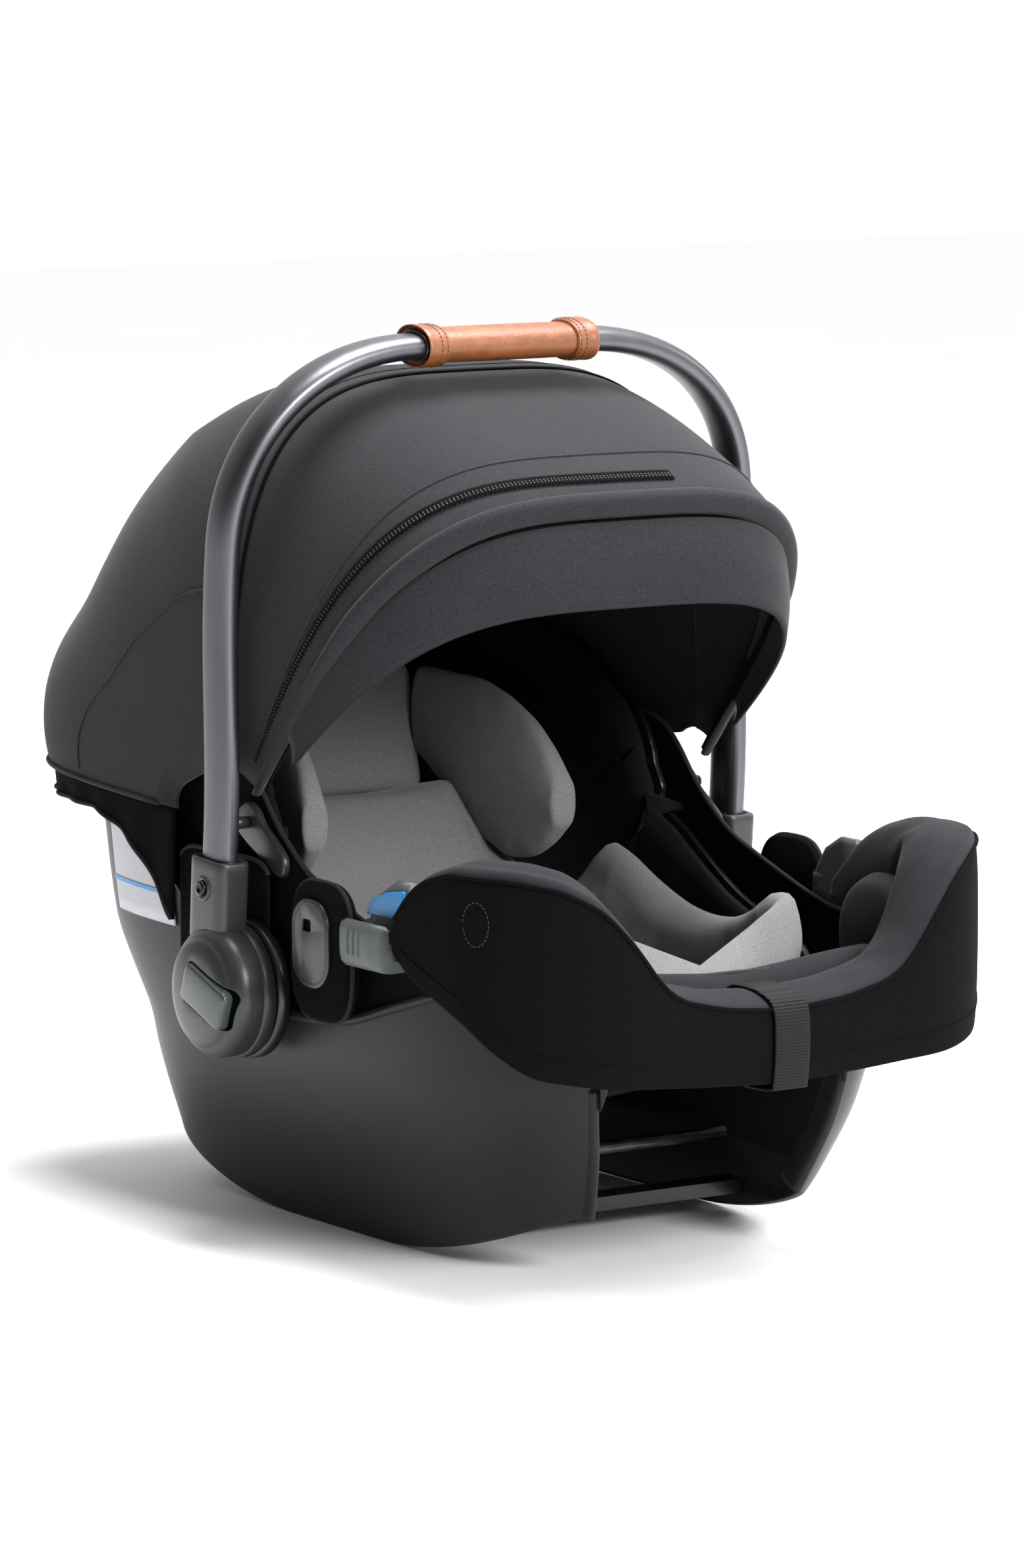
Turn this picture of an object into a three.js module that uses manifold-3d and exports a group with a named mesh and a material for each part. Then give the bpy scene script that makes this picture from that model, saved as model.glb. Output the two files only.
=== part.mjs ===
// Infant car seat: a plastic shell on rocker edges, a padded bucket, a folding hood and a carry handle.
// Millimetres. X is across the seat, -Y is the foot end, +Y the head end and +Z up. The rockers stand at z = 0.
import * as THREE from "three";
import { mergeVertices } from "three/addons/utils/BufferGeometryUtils.js";
import Module from "manifold-3d";

const wasm = await Module();
wasm.setup();

// ---- driving dimensions ----
const GAP = 0.4; // clearance kept between touching pieces
const HUB = { y: -14, z: 158, radius: 42, inner: 184.2, face: 219.5 }; // handle pivot, along X
const HANDLE = {
  halfWidth: 197, top: 563, shoulder: 440, flat: 60, foot: 200, across: 16, deep: 30, bow: 9, lean: 3.95,
};
const HANDLE_FOOT_Y = -4; // where the handle's plane crosses the pivot's height
const HOOD = { y: 0, z: 262 }; // hood pivot, along X
const SHELL = { wall: 4, centre: -26, power: 4 };
const ROCKER = { centre: -30, flat: 50, curve: 760 }; // the rocker edges rise by (distance - flat)^2 / curve
const FRONT_Y = -349; // outermost face of the foot bolster
const MIDDLE_Y = 14.2; // moves the middle of the whole seat to y = 0
const DEG = Math.PI / 180;

// ---- materials ----
const material = (colour, roughness, metalness = 0) =>
  new THREE.MeshStandardMaterial({ color: colour, roughness, metalness });
const MATERIAL = {
  shell: material(0x35353a, 0.5),
  bucket: material(0x121214, 0.35),
  foam: material(0x2a2a2c, 0.95),
  hood: material(0x333338, 0.9),
  cover: material(0x141416, 0.95),
  insert: material(0x58585c, 0.95),
  tube: material(0x6a6a70, 0.35, 0.8),
  leather: material(0x9a5a30, 0.55),
  trim: material(0x2b2b2f, 0.45),
  button: material(0x56605c, 0.35, 0.3),
  guide: material(0x5e6664, 0.55),
  blue: material(0x3b93cf, 0.5),
  steel: material(0x9a9a9e, 0.3, 1),
  webbing: material(0x0e0e10, 0.9),
  red: material(0xb02a20, 0.4),
};

// ---- geometry helpers ----
// Closes a list of points and triangles into a geometry that faces out.
function closedGeometry(points, faces) {
  let volume = 0;
  for (const [a, b, c] of faces)
    volume += points[a].dot(new THREE.Vector3().crossVectors(points[b], points[c])) / 6;
  const turned = volume < 0 ? faces.map(([a, b, c]) => [a, c, b]) : faces;
  const geometry = new THREE.BufferGeometry();
  geometry.setAttribute("position", new THREE.Float32BufferAttribute(points.flatMap((p) => p.toArray()), 3));
  geometry.setIndex(turned.flat());
  return geometry;
}

// A sheet with thickness: two matching grids of points, joined round their edges. A wrapped one closes up.
function sheet(rows, columns, outer, inner, wrap = false) {
  const points = [];
  const across = wrap ? columns : columns - 1;
  for (const side of [outer, inner])
    for (let i = 0; i < rows; i++)
      for (let j = 0; j < columns; j++) points.push(side(i / (rows - 1), j / across));
  const at = (side, i, j) => side * rows * columns + i * columns + (j % columns);
  const faces = [];
  const quad = (a, b, c, d) => faces.push([a, b, c], [a, c, d]);
  const last = wrap ? columns : columns - 1;
  for (let i = 0; i < rows - 1; i++)
    for (let j = 0; j < last; j++) {
      quad(at(0, i, j), at(0, i + 1, j), at(0, i + 1, j + 1), at(0, i, j + 1));
      quad(at(1, i, j), at(1, i, j + 1), at(1, i + 1, j + 1), at(1, i + 1, j));
    }
  for (let j = 0; j < last; j++) {
    quad(at(0, 0, j), at(0, 0, j + 1), at(1, 0, j + 1), at(1, 0, j));
    quad(at(0, rows - 1, j + 1), at(0, rows - 1, j), at(1, rows - 1, j), at(1, rows - 1, j + 1));
  }
  if (!wrap)
    for (let i = 0; i < rows - 1; i++) {
      quad(at(0, i + 1, 0), at(0, i, 0), at(1, i, 0), at(1, i + 1, 0));
      quad(at(0, i, columns - 1), at(0, i + 1, columns - 1), at(1, i + 1, columns - 1), at(1, i, columns - 1));
    }
  return closedGeometry(points, faces);
}

// A solid through rings of points, with a flat fan at each end.
function loft(rings) {
  const count = rings[0].length;
  const points = rings.flat();
  const faces = [];
  for (let i = 0; i < rings.length - 1; i++)
    for (let j = 0; j < count; j++) {
      const [a, b] = [i * count + j, i * count + ((j + 1) % count)];
      faces.push([a, b, b + count], [a, b + count, a + count]);
    }
  [rings[0], rings.at(-1)].forEach((ring, end) => {
    const middle = ring.reduce((sum, p) => sum.add(p), new THREE.Vector3()).divideScalar(count);
    const centre = points.push(middle) - 1;
    const start = end * (rings.length - 1) * count;
    for (let j = 0; j < count; j++) {
      const [a, b] = [start + j, start + ((j + 1) % count)];
      faces.push(end ? [a, b, centre] : [b, a, centre]);
    }
  });
  return closedGeometry(points, faces);
}

function solidOf(geometry) {
  const bare = new THREE.BufferGeometry();
  bare.setAttribute("position", geometry.getAttribute("position").clone());
  if (geometry.index) bare.setIndex(geometry.index.clone());
  const merged = mergeVertices(bare, 1e-3);
  return new wasm.Manifold(
    new wasm.Mesh({
      numProp: 3,
      vertProperties: new Float32Array(merged.attributes.position.array),
      triVerts: new Uint32Array(merged.index.array),
    }),
  );
}

function geometryOf(solid) {
  const mesh = solid.getMesh();
  const geometry = new THREE.BufferGeometry();
  geometry.setAttribute("position", new THREE.Float32BufferAttribute(mesh.vertProperties, 3));
  geometry.setIndex([...mesh.triVerts]);
  return geometry;
}

const join = (...pieces) => geometryOf(pieces.map(solidOf).reduce((a, b) => a.add(b)));
const cut = (piece, ...tools) =>
  geometryOf(tools.map(solidOf).reduce((a, b) => a.subtract(b), solidOf(piece)));

// A round bar along X, from one x to another.
function barX(radius, from, to, y, z, sides = 16) {
  const bar = new THREE.CylinderGeometry(radius, radius, Math.abs(to - from), sides);
  return bar.rotateZ(Math.PI / 2).translate((from + to) / 2, y, z);
}

const box = (x0, x1, y0, y1, z0, z1) =>
  new THREE.BoxGeometry(x1 - x0, y1 - y0, z1 - z0).translate((x0 + x1) / 2, (y0 + y1) / 2, (z0 + z1) / 2);

// A rectangle with round corners, centred on the origin.
function roundedRectangle(width, height, radius) {
  const [w, h] = [width / 2, height / 2];
  const shape = new THREE.Shape();
  shape.moveTo(-w + radius, -h);
  shape.lineTo(w - radius, -h);
  shape.absarc(w - radius, -h + radius, radius, -Math.PI / 2, 0);
  shape.lineTo(w, h - radius);
  shape.absarc(w - radius, h - radius, radius, 0, Math.PI / 2);
  shape.lineTo(-w + radius, h);
  shape.absarc(-w + radius, h - radius, radius, Math.PI / 2, Math.PI);
  shape.lineTo(-w, -h + radius);
  shape.absarc(-w + radius, -h + radius, radius, Math.PI, 1.5 * Math.PI);
  return shape;
}

// A plate across X whose outline lies in the Y-Z plane: the outline's x becomes Y and its y becomes Z.
function plateX(shape, from, to, curveSegments = 4) {
  const plate = new THREE.ExtrudeGeometry(shape, { depth: to - from, bevelEnabled: false, curveSegments });
  return plate.rotateX(Math.PI / 2).rotateZ(Math.PI / 2).translate(from, 0, 0);
}

// A value along a list of [position, value] points, easing smoothly through them.
function along(points, position) {
  const last = points.length - 1;
  if (position <= points[0][0]) return points[0][1];
  if (position >= points[last][0]) return points[last][1];
  const i = points.findIndex((p) => p[0] > position) - 1;
  const [from, to] = [points[i], points[i + 1]];
  return THREE.MathUtils.lerp(from[1], to[1], (position - from[0]) / (to[0] - from[0]));
}

const signedPower = (value, power) => Math.sign(value) * Math.abs(value) ** power;

// ---- the assembly ----
const carSeat = new THREE.Group();
const handle = new THREE.Group();
handle.position.set(0, HANDLE_FOOT_Y, HUB.z);
handle.rotation.x = HANDLE.lean * DEG;
carSeat.add(handle);

function add(name, geometry, finish, parent = carSeat) {
  const mesh = new THREE.Mesh(geometry, finish);
  mesh.name = name;
  parent.add(mesh);
  return mesh;
}

// A piece made on the +X side, and its mirror image on the -X side.
function addPair(name, geometry, finish, parent = carSeat) {
  add(name + "_right", geometry, finish, parent);
  add(name + "_left", geometry, finish, parent).scale.x = -1;
}

// ---- outer shell ----
const SHELL_WIDTH = [[0, 122], [38, 136], [84, 155], [113, 164], [150, 169], [200, 172], [340, 171]];
const SHELL_FRONT = [
  [0, 192], [19, 216], [38, 232], [60, 243], [84, 254], [118, 262], [200, 261], [340, 261],
];
const SHELL_REAR = [
  [0, 240], [60, 240], [118, 236], [146, 258], [171, 278], [250, 298], [300, 322], [340, 334],
];
const SHELL_RIM = [
  [-400, 190], [-236, 190], [-115, 152], [-60, 147], [14, 147], [64, 200], [150, 262], [250, 302],
  [400, 322],
];
const SHELL_LEVELS = [-1, 19, 38, 60, 84, 118, 132, 146, 171, 210, 270, 341];

const rockerHeight = (y) => Math.max(0, Math.abs(y - ROCKER.centre) - ROCKER.flat) ** 2 / ROCKER.curve;

function shellPoint(z, turn, inset) {
  const angle = turn * 2 * Math.PI;
  const power = 2 / SHELL.power;
  const length = along(Math.sin(angle) > 0 ? SHELL_REAR : SHELL_FRONT, z) - inset;
  const x = (along(SHELL_WIDTH, z) - inset) * signedPower(Math.cos(angle), power);
  return new THREE.Vector3(x, SHELL.centre + length * signedPower(Math.sin(angle), power), z);
}

// An outline through [across, up] points.
const outline = (points) => new THREE.Shape(points.map((p) => new THREE.Vector2(...p)));

// A slab across the whole width. Its side view is a line of [y, z] points, closed at a level above or below it.
function sideCutter(line, level) {
  return plateX(outline([...line, [line.at(-1)[0], level], [line[0][0], level]]), -260, 260);
}

function outerShell() {
  const levelAt = (part) => SHELL_LEVELS[Math.round(part * (SHELL_LEVELS.length - 1))];
  const wall = sheet(
    SHELL_LEVELS.length,
    36,
    (i, j) => shellPoint(levelAt(i), j, 0),
    (i, j) => shellPoint(levelAt(i), j, SHELL.wall),
    true,
  );
  const rockers = [];
  for (let y = -380; y <= 380; y += 40) rockers.push([y, rockerHeight(y)]);
  const mouth = new THREE.ExtrudeGeometry(roundedRectangle(184, 300, 24), {
    depth: 300,
    bevelEnabled: false,
    curveSegments: 3,
  });
  mouth.rotateX(Math.PI / 2).translate(0, -120, 2);
  return cut(wall, sideCutter(rockers, -60), sideCutter(SHELL_RIM, 420), mouth);
}
add("outer_shell", outerShell(), MATERIAL.shell);

// A rail across the shell, from wall to wall, with its underside hollowed.
function crossRail(y, z, deep, high) {
  const narrowing = (1 - (Math.abs(y - SHELL.centre) / 246) ** SHELL.power) ** (1 / SHELL.power);
  const half = shellPoint(z, 0, 0).x * narrowing - SHELL.wall - 6;
  const rail = box(-half, half, y - deep, y + deep, z, z + high);
  return cut(rail, box(-half + 8, half - 8, y - deep + 3, y + deep - 3, z - 1, z + high - 3));
}
add("front_cross_rail", crossRail(-134, 15, 10, 9), MATERIAL.bucket);
add("rear_cross_rail", crossRail(122, 18, 14, 13), MATERIAL.bucket);
add("front_latch_bar", barX(4.5, -131, 131, -100, 46, 16), MATERIAL.steel);
add("rear_latch_bar", barX(4.5, -131, 131, 78, 46, 16), MATERIAL.steel);

// ---- bucket, padding and insert, all measured from one spine along the underside ----
const SPINE = new THREE.CatmullRomCurve3(
  [
    [-276, 150], [-220, 120], [-150, 95], [-80, 81], [-10, 80], [60, 93], [118, 124],
    [160, 162], [192, 207], [222, 251], [256, 292], [296, 324],
  ].map(([y, z]) => new THREE.Vector3(0, y, z)),
);
const BUCKET_WIDTH = [
  [0, 88], [0.06, 122], [0.13, 142], [0.22, 154], [0.34, 162], [0.86, 162], [0.94, 148], [1, 128],
];
const BUCKET_RIM = [
  [0, 34], [0.08, 64], [0.17, 92], [0.28, 124], [0.4, 154], [0.55, 176], [0.62, 186],
  [0.68, 190], [0.76, 192], [0.84, 168], [0.93, 106], [1, 26],
];

// A point of a U-shaped section: part runs along the spine, turn from -1 to 1 across it. Inset is the depth of
// padding at the bottom, and side its depth at the walls.
function channelPoint(part, turn, inset, width, rim, side = inset, power = 3) {
  const centre = SPINE.getPointAt(part);
  const tangent = SPINE.getTangentAt(part);
  const up = new THREE.Vector3(0, -tangent.z, tangent.y);
  const angle = (turn * Math.PI) / 2;
  const rise = inset + (rim - inset) * (1 - Math.cos(angle) ** (2 / power));
  const x = (width - side) * signedPower(Math.sin(angle), 2 / power);
  return centre.addScaledVector(up, rise).setX(x);
}

// A lining of the bucket between two depths. Linings share one grid, so that layers lie on each other without
// crossing: stations along the spine and columns across it, of which trim are left off at each edge.
const STATIONS = 14;
const COLUMNS = 12;
function lining([first, last], [near, far], { trim = 0, width = BUCKET_WIDTH, rim = BUCKET_RIM } = {}) {
  const side = (inset) => (i, j) => {
    const part = THREE.MathUtils.lerp(first, last, i) / STATIONS;
    const turn = THREE.MathUtils.lerp(trim, COLUMNS - trim, j) * (2 / COLUMNS) - 1;
    return channelPoint(part, turn, inset, along(width, part), along(rim, part));
  };
  return sheet(last - first + 1, COLUMNS - 2 * trim + 1, side(near), side(far));
}
add("seat_bucket", lining([0, STATIONS], [0, 4]), MATERIAL.bucket);
add("foam_liner", lining([1, STATIONS - 1], [4.8, 9.6], { trim: 1 }), MATERIAL.foam);
add("seat_cover", lining([1, STATIONS - 1], [10.4, 16]), MATERIAL.cover);

const INSERT_WIDTH = [
  [0, 88], [0.05, 106], [0.1, 114], [0.3, 122], [0.5, 124], [0.57, 110], [0.65, 84], [0.7, 72],
  [0.8, 58],
];
const INSERT_RIM = [
  [0, 84], [0.03, 100], [0.08, 104], [0.15, 100], [0.21, 106], [0.28, 118], [0.36, 134],
  [0.43, 146], [0.5, 148], [0.57, 92], [0.64, 82], [0.7, 76], [0.8, 78],
];
const INSERT_TOP = [[0.1, 30], [0.3, 36], [0.5, 44], [0.6, 54], [0.7, 66], [0.8, 74]];

// A block lying on the spine: half-width across, half-length along, between two depths.
function blockOnSpine(part, halfWidth, halfLength, near, far, x = 0) {
  const tangent = SPINE.getTangentAt(part);
  const block = box(x - halfWidth, x + halfWidth, -halfLength, halfLength, near, far);
  const centre = SPINE.getPointAt(part);
  return block.rotateX(Math.atan2(tangent.z, tangent.y)).translate(0, centre.y, centre.z);
}

const BUCKLE = { part: 0.33, x: 16, y: 21, near: 20, far: 31 };
const CLIP = { part: 0.63, x: 44, y: 13, near: 23, far: 29 };
const pocket = ({ part, x, y, near, far }) => blockOnSpine(part, x + 1, y + 1, near - 8, far + 1);
function insertBody() {
  const side = (inset, wall) => (i, j) => {
    const part = THREE.MathUtils.lerp(0, 11, i) / STATIONS;
    const depth = inset ?? along(INSERT_TOP, part);
    return channelPoint(part, j * 2 - 1, depth, along(INSERT_WIDTH, part), along(INSERT_RIM, part), wall);
  };
  return sheet(12, COLUMNS + 1, side(20.5, 0), side(null, 17));
}
add("body_insert", cut(insertBody(), pocket(BUCKLE), pocket(CLIP)), MATERIAL.insert);

// A flat strap along the spine, from one station to another.
function strapOnSpine(first, last, x0, x1, near, far) {
  const point = (inset) => (i, j) => {
    const part = THREE.MathUtils.lerp(first, last, i) / STATIONS;
    return channelPoint(part, 0, inset, 0, inset).setX(THREE.MathUtils.lerp(x0, x1, j));
  };
  return sheet(last - first + 1, 2, point(near), point(far));
}
addPair("shoulder_strap", strapOnSpine(6, 11, 11, 30, 18.4, 20), MATERIAL.webbing);
add("crotch_strap", strapOnSpine(3, 4, -14, 14, 17.4, 19), MATERIAL.webbing);
const buckleKey = { part: BUCKLE.part, x: 9, y: 8, near: 26, far: 30.6 };
add(
  "harness_buckle",
  cut(
    blockOnSpine(BUCKLE.part, BUCKLE.x, BUCKLE.y, BUCKLE.near, BUCKLE.far),
    blockOnSpine(buckleKey.part, buckleKey.x + GAP, buckleKey.y + GAP, buckleKey.near - 3, BUCKLE.far + 1),
  ),
  MATERIAL.trim,
);
add(
  "buckle_button",
  blockOnSpine(buckleKey.part, buckleKey.x, buckleKey.y, buckleKey.near, buckleKey.far),
  MATERIAL.red,
);
add("chest_clip", blockOnSpine(CLIP.part, CLIP.x, CLIP.y, CLIP.near, CLIP.far), MATERIAL.trim);
add("splitter_plate", blockOnSpine(0.79, 26, 14, -8.6, -6), MATERIAL.steel);
add("adjuster_webbing", strapOnSpine(1, 11, -14, 14, -4.8, -2.8), MATERIAL.webbing);

// ---- head support ----
const HEAD = { half: 60, low: 276, high: 334 };
function headPad() {
  const ring = (x) => {
    const lean = 4 * (x / HEAD.half) ** 2;
    return [
      [178 - lean, HEAD.low], [176 - lean, HEAD.low + 26], [180 - lean, HEAD.high - 6], [190, HEAD.high],
      [214, HEAD.high - 4], [228, HEAD.high - 18], [204, HEAD.low + 12], [190, HEAD.low - 2],
    ].map(([y, z]) => new THREE.Vector3(x, y, z));
  };
  return loft([-1, -0.5, 0, 0.5, 1].map((t) => ring(t * HEAD.half)));
}
add("head_pad", headPad(), MATERIAL.insert);

const WING_TOP = [[34, 262], [44, 282], [62, 302], [84, 316], [110, 326], [168, 330]];
const WING_BOTTOM = [[34, 236], [44, 222], [62, 210], [84, 208], [110, 220], [130, 238], [168, 272]];
function headWing() {
  const side = (thickness) => (i, j) => {
    const y = THREE.MathUtils.lerp(168, 34, i);
    const z = THREE.MathUtils.lerp(along(WING_BOTTOM, y), along(WING_TOP, y), j);
    const inner = 62 + (168 - y) * 0.19;
    const round = Math.sin(Math.PI * THREE.MathUtils.clamp(j, 0.12, 0.88));
    return new THREE.Vector3(thickness ? inner + 8 + 12 * round : inner + 4 - 4 * round, y, z);
  };
  return sheet(9, 6, side(0), side(1));
}
addPair("head_wing", headWing(), MATERIAL.insert);

// ---- foot bolster: a padded rim round the foot end, with a raised horn on each side ----
const BOLSTER = { half: 190, start: -196, corner: 90, rings: 32 };
const BOLSTER_TOP = [
  [0, 230], [0.025, 248], [0.055, 261], [0.105, 270], [0.188, 270], [0.24, 265], [0.282, 252],
  [0.318, 228], [0.344, 206], [0.37, 194], [0.427, 186], [0.5, 182],
];
const BOLSTER_BOTTOM = [
  [0, 204], [0.03, 192], [0.06, 186], [0.125, 173], [0.167, 157], [0.208, 144], [0.292, 137], [0.386, 132], [0.5, 128],
];
const BOLSTER_THICK = [[0, 14], [0.18, 18], [0.28, 42], [0.37, 52], [0.5, 56]];

// The bolster's outline in plan: straight sides, round corners and a straight front. Gives a point and the
// inward direction.
function bolsterPath(part) {
  const { half, start, corner } = BOLSTER;
  const side = start - (FRONT_Y + corner);
  const lengths = [side, (corner * Math.PI) / 2, half - corner];
  const total = lengths[0] + lengths[1] + lengths[2];
  const mirror = part > 0.5 ? -1 : 1;
  let run = (part > 0.5 ? 1 - part : part) * 2 * total;
  if (run <= lengths[0]) return { x: mirror * half, y: start - run, inX: -mirror, inY: 0 };
  run -= lengths[0];
  if (run <= lengths[1]) {
    const angle = run / corner;
    return {
      x: mirror * (half - corner + corner * Math.cos(angle)),
      y: FRONT_Y + corner - corner * Math.sin(angle),
      inX: -mirror * Math.cos(angle),
      inY: Math.sin(angle),
    };
  }
  run -= lengths[1];
  return { x: mirror * (half - corner - run), y: FRONT_Y, inX: 0, inY: 1 };
}

// One section of the bolster, as [depth, height] points, grown outwards by a margin.
function bolsterSection(part, grow = 0) {
  const half = Math.min(part, 1 - part);
  const [top, bottom] = [along(BOLSTER_TOP, half) + grow, along(BOLSTER_BOTTOM, half) - grow];
  const low = along(BOLSTER_THICK, half) + grow;
  const high = Math.max(low, 46 + grow);
  const ledge = Math.min(197, top - 16);
  return [
    [-grow, bottom + 9], [3 - grow, bottom], [low - 4, bottom], [low, bottom + 6],
    [low, Math.max(bottom + 7, ledge)], [high, Math.max(bottom + 9, ledge + 2)], [high, top - 12],
    [high - 12, top - 2], [high / 2, top], [10 - grow, top - 2], [-grow, top - 12],
  ];
}

function bolsterRing(part, grow) {
  const { x, y, inX, inY } = bolsterPath(part);
  const section = bolsterSection(part, grow);
  return section.map(([depth, z]) => new THREE.Vector3(x + inX * depth, y + inY * depth, z));
}
function bolsterBand(grow, first, last) {
  const rings = [];
  for (let i = first; i <= last; i++) rings.push(bolsterRing(i / BOLSTER.rings, grow));
  return loft(rings);
}
add("foot_bolster", bolsterBand(0, 0, BOLSTER.rings), MATERIAL.cover);

const padShape = new THREE.Shape();
padShape.absellipse(0, 0, 26, 24, 0, 2 * Math.PI);
const legPad = plateX(padShape, 117, 133, 6).translate(0, -238, 212);
addPair("leg_pad", legPad, MATERIAL.cover);

// The webbing that loops over the middle of the bolster's rim.
const rimStrap = cut(
  bolsterBand(2.4, 15, 17),
  bolsterBand(0.6, 14, 18),
  box(-30, 30, FRONT_Y + 36, FRONT_Y + 80, 100, 210),
  box(-40, -13, FRONT_Y - 10, FRONT_Y + 80, 100, 210),
  box(13, 40, FRONT_Y - 10, FRONT_Y + 80, 100, 210),
);
add("rim_strap", rimStrap, MATERIAL.webbing);

// ---- side fittings ----
const HUB_BASE = [[0, 0], [43, 0], [44, 2], [44, 7.5], [42, 9.6], [0, 9.6]]; // radius, then distance out
const hubBase = cut(
  new THREE.LatheGeometry(HUB_BASE.map((p) => new THREE.Vector2(...p)), 24)
    .rotateZ(-Math.PI / 2)
    .translate(174.2, HUB.y, HUB.z),
  barX(8 + GAP, 160, 200, HUB.y, HUB.z),
);
addPair("hub_base", hubBase, MATERIAL.trim);
addPair("pivot_shaft", barX(8, 163, 205, HUB.y, HUB.z), MATERIAL.steel);

function beltGuide() {
  const section = outline([
    [168, 193], [192, 193], [194, 196], [194, 217], [191.5, 220], [188.5, 217],
    [188.5, 199], [174, 199], [174, 242], [171, 246], [168, 242],
  ]);
  const guide = new THREE.ExtrudeGeometry(section, { depth: 46, bevelEnabled: false });
  guide.rotateX(Math.PI / 2).translate(0, -146, 0);
  const slope = outline([[-166, 250], [-148, 224], [-140, 224], [-140, 250]]);
  return cut(guide, plateX(slope, 160, 182));
}
addPair("belt_guide", beltGuide(), MATERIAL.guide);
const blueShape = outline([[-190, 224], [-150, 224], [-158, 234], [-190, 241]]);
addPair("belt_guide_inset", plateX(blueShape, 174 + GAP, 175.8), MATERIAL.blue);

const flapShape = roundedRectangle(64, 84, 22);
addPair("cover_flap", plateX(flapShape, 176.5, 185).translate(0, -107, 194), MATERIAL.cover);
const tabShape = roundedRectangle(42, 56, 18);
const tabSlot = roundedRectangle(9, 7, 1.5).getPoints(2).reverse();
tabShape.holes.push(new THREE.Path(tabSlot.map((p) => p.add(new THREE.Vector2(4, 11)))));
addPair("cover_tab", plateX(tabShape, 185 + GAP, 188.6).translate(0, -102, 199), MATERIAL.trim);

// ---- hood ----
// Three layers turn inside each other: [outer radius, inner radius, outer half-width, inner half-width].
const HOOD_LAYER = {
  rear: [284, 281, 184.4, 182.2],
  middle: [280.1, 276.9, 181.5, 179.3],
  front: [276, 272.8, 178.6, 176.4],
};
const FRONT_ANGLE = 50; // the front bow's rise above the horizontal, ahead of the pivot
const MIDDLE_ANGLE = 90.6;
const HOOD_POWER = 3.6; // how square the arch is: 2 is an ellipse
const BOW_SWEEP = 1.3; // half of the angle that a bow fills
const HALF_TURNS = [0.13, 0.26, 0.39, 0.52, 0.64, 0.76, 0.88, 0.985];
const HOOD_TURNS = [...HALF_TURNS.map((t) => -t).reverse(), 0, ...HALF_TURNS];
const BOW_TURNS = [-1, ...HOOD_TURNS, 1];

// A point of the hood: an angle about the pivot, a turn from -1 to 1 across the arch, its radius and width.
function hoodPoint(angle, turn, radius, width, power = HOOD_POWER) {
  const a = (turn * Math.PI) / 2;
  const reach = radius * Math.abs(Math.cos(a)) ** (2 / power);
  return new THREE.Vector3(
    width * signedPower(Math.sin(a), 2 / power),
    HOOD.y - reach * Math.cos(angle * DEG),
    HOOD.z + reach * Math.sin(angle * DEG),
  );
}

const turnAt = (turns, j) => turns[Math.round(j * (turns.length - 1))];

function hoodPanel([outer, inner, wide, narrow], from, to, rows) {
  const side = (radius, width) => (i, j) =>
    hoodPoint(THREE.MathUtils.lerp(from, to, i), turnAt(HOOD_TURNS, j), radius, width);
  return sheet(rows, HOOD_TURNS.length, side(outer, wide), side(inner, narrow));
}

// A bow over a narrow angle, with an eye round the hood's pin at each end.
function hoodBow([outer, inner, wide, narrow], angle) {
  const side = (radius, width) => (i, j) => {
    const turn = turnAt(BOW_TURNS, j);
    const point = hoodPoint(angle + (i * 2 - 1) * BOW_SWEEP, turn, radius, width);
    return Math.abs(turn) < 1 ? point : point.setY(HOOD.y + (i * 2 - 1) * 0.5);
  };
  const strip = sheet(2, BOW_TURNS.length, side(outer, wide), side(inner, narrow));
  const eyes = [-1, 1].map((sign) => barX(11, sign * (narrow + 0.1), sign * (wide - 0.1), HOOD.y, HOOD.z, 14));
  return cut(join(strip, ...eyes), barX(4.5, -200, 200, HOOD.y, HOOD.z, 14));
}

// The rear of the hood runs over the head end of the shell, and stays inside the sweep of the handle.
const REAR_ANGLES = [93.5, 102, 110.5, 119, 127, 135, 143, 151, 158, 164, 171, 177];
const REAR_PROFILE = [
  [93.5, 284], [104, 289], [118, 296], [145, 294], [154, 298], [160, 312], [165, 323], [171, 327],
  [177, 316],
];
const REAR_POWER = [[127, HOOD_POWER], [150, 4.2], [165, 4.6], [177, 4.8]];
const HANDLE_REACH = [
  [0, 389], [66, 389], [100, 384], [130, 370], [150, 355], [165, 338], [178, 312], [190, 290],
];
function rearHoodPoint(angle, turn, inset) {
  const power = along(REAR_POWER, angle);
  const width = HOOD_LAYER.rear[2] - inset * 0.7333;
  const point = hoodPoint(angle, turn, along(REAR_PROFILE, angle) - inset, width, power);
  const fromHub = new THREE.Vector2(point.y - HUB.y, point.z - HUB.z);
  const limit = along(HANDLE_REACH, Math.abs(point.x)) - inset;
  if (angle > 100 && fromHub.length() > limit) fromHub.setLength(limit);
  return point.set(point.x, HUB.y + fromHub.x, HUB.z + fromHub.y);
}
const rearHood = sheet(
  REAR_ANGLES.length,
  HOOD_TURNS.length,
  (i, j) => rearHoodPoint(turnAt(REAR_ANGLES, i), turnAt(HOOD_TURNS, j), 0),
  (i, j) => rearHoodPoint(turnAt(REAR_ANGLES, i), turnAt(HOOD_TURNS, j), 3),
);
add("hood_rear_panel", rearHood, MATERIAL.hood);
add("hood_middle_bow", hoodBow(HOOD_LAYER.middle, MIDDLE_ANGLE), MATERIAL.trim);
add("hood_middle_panel", hoodPanel(HOOD_LAYER.middle, 67, MIDDLE_ANGLE - BOW_SWEEP - 0.3, 4), MATERIAL.hood);
add("hood_front_panel", hoodPanel(HOOD_LAYER.front, FRONT_ANGLE + BOW_SWEEP + 0.3, 66, 4), MATERIAL.hood);
add("hood_front_bow", hoodBow(HOOD_LAYER.front, FRONT_ANGLE), MATERIAL.trim);

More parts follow.
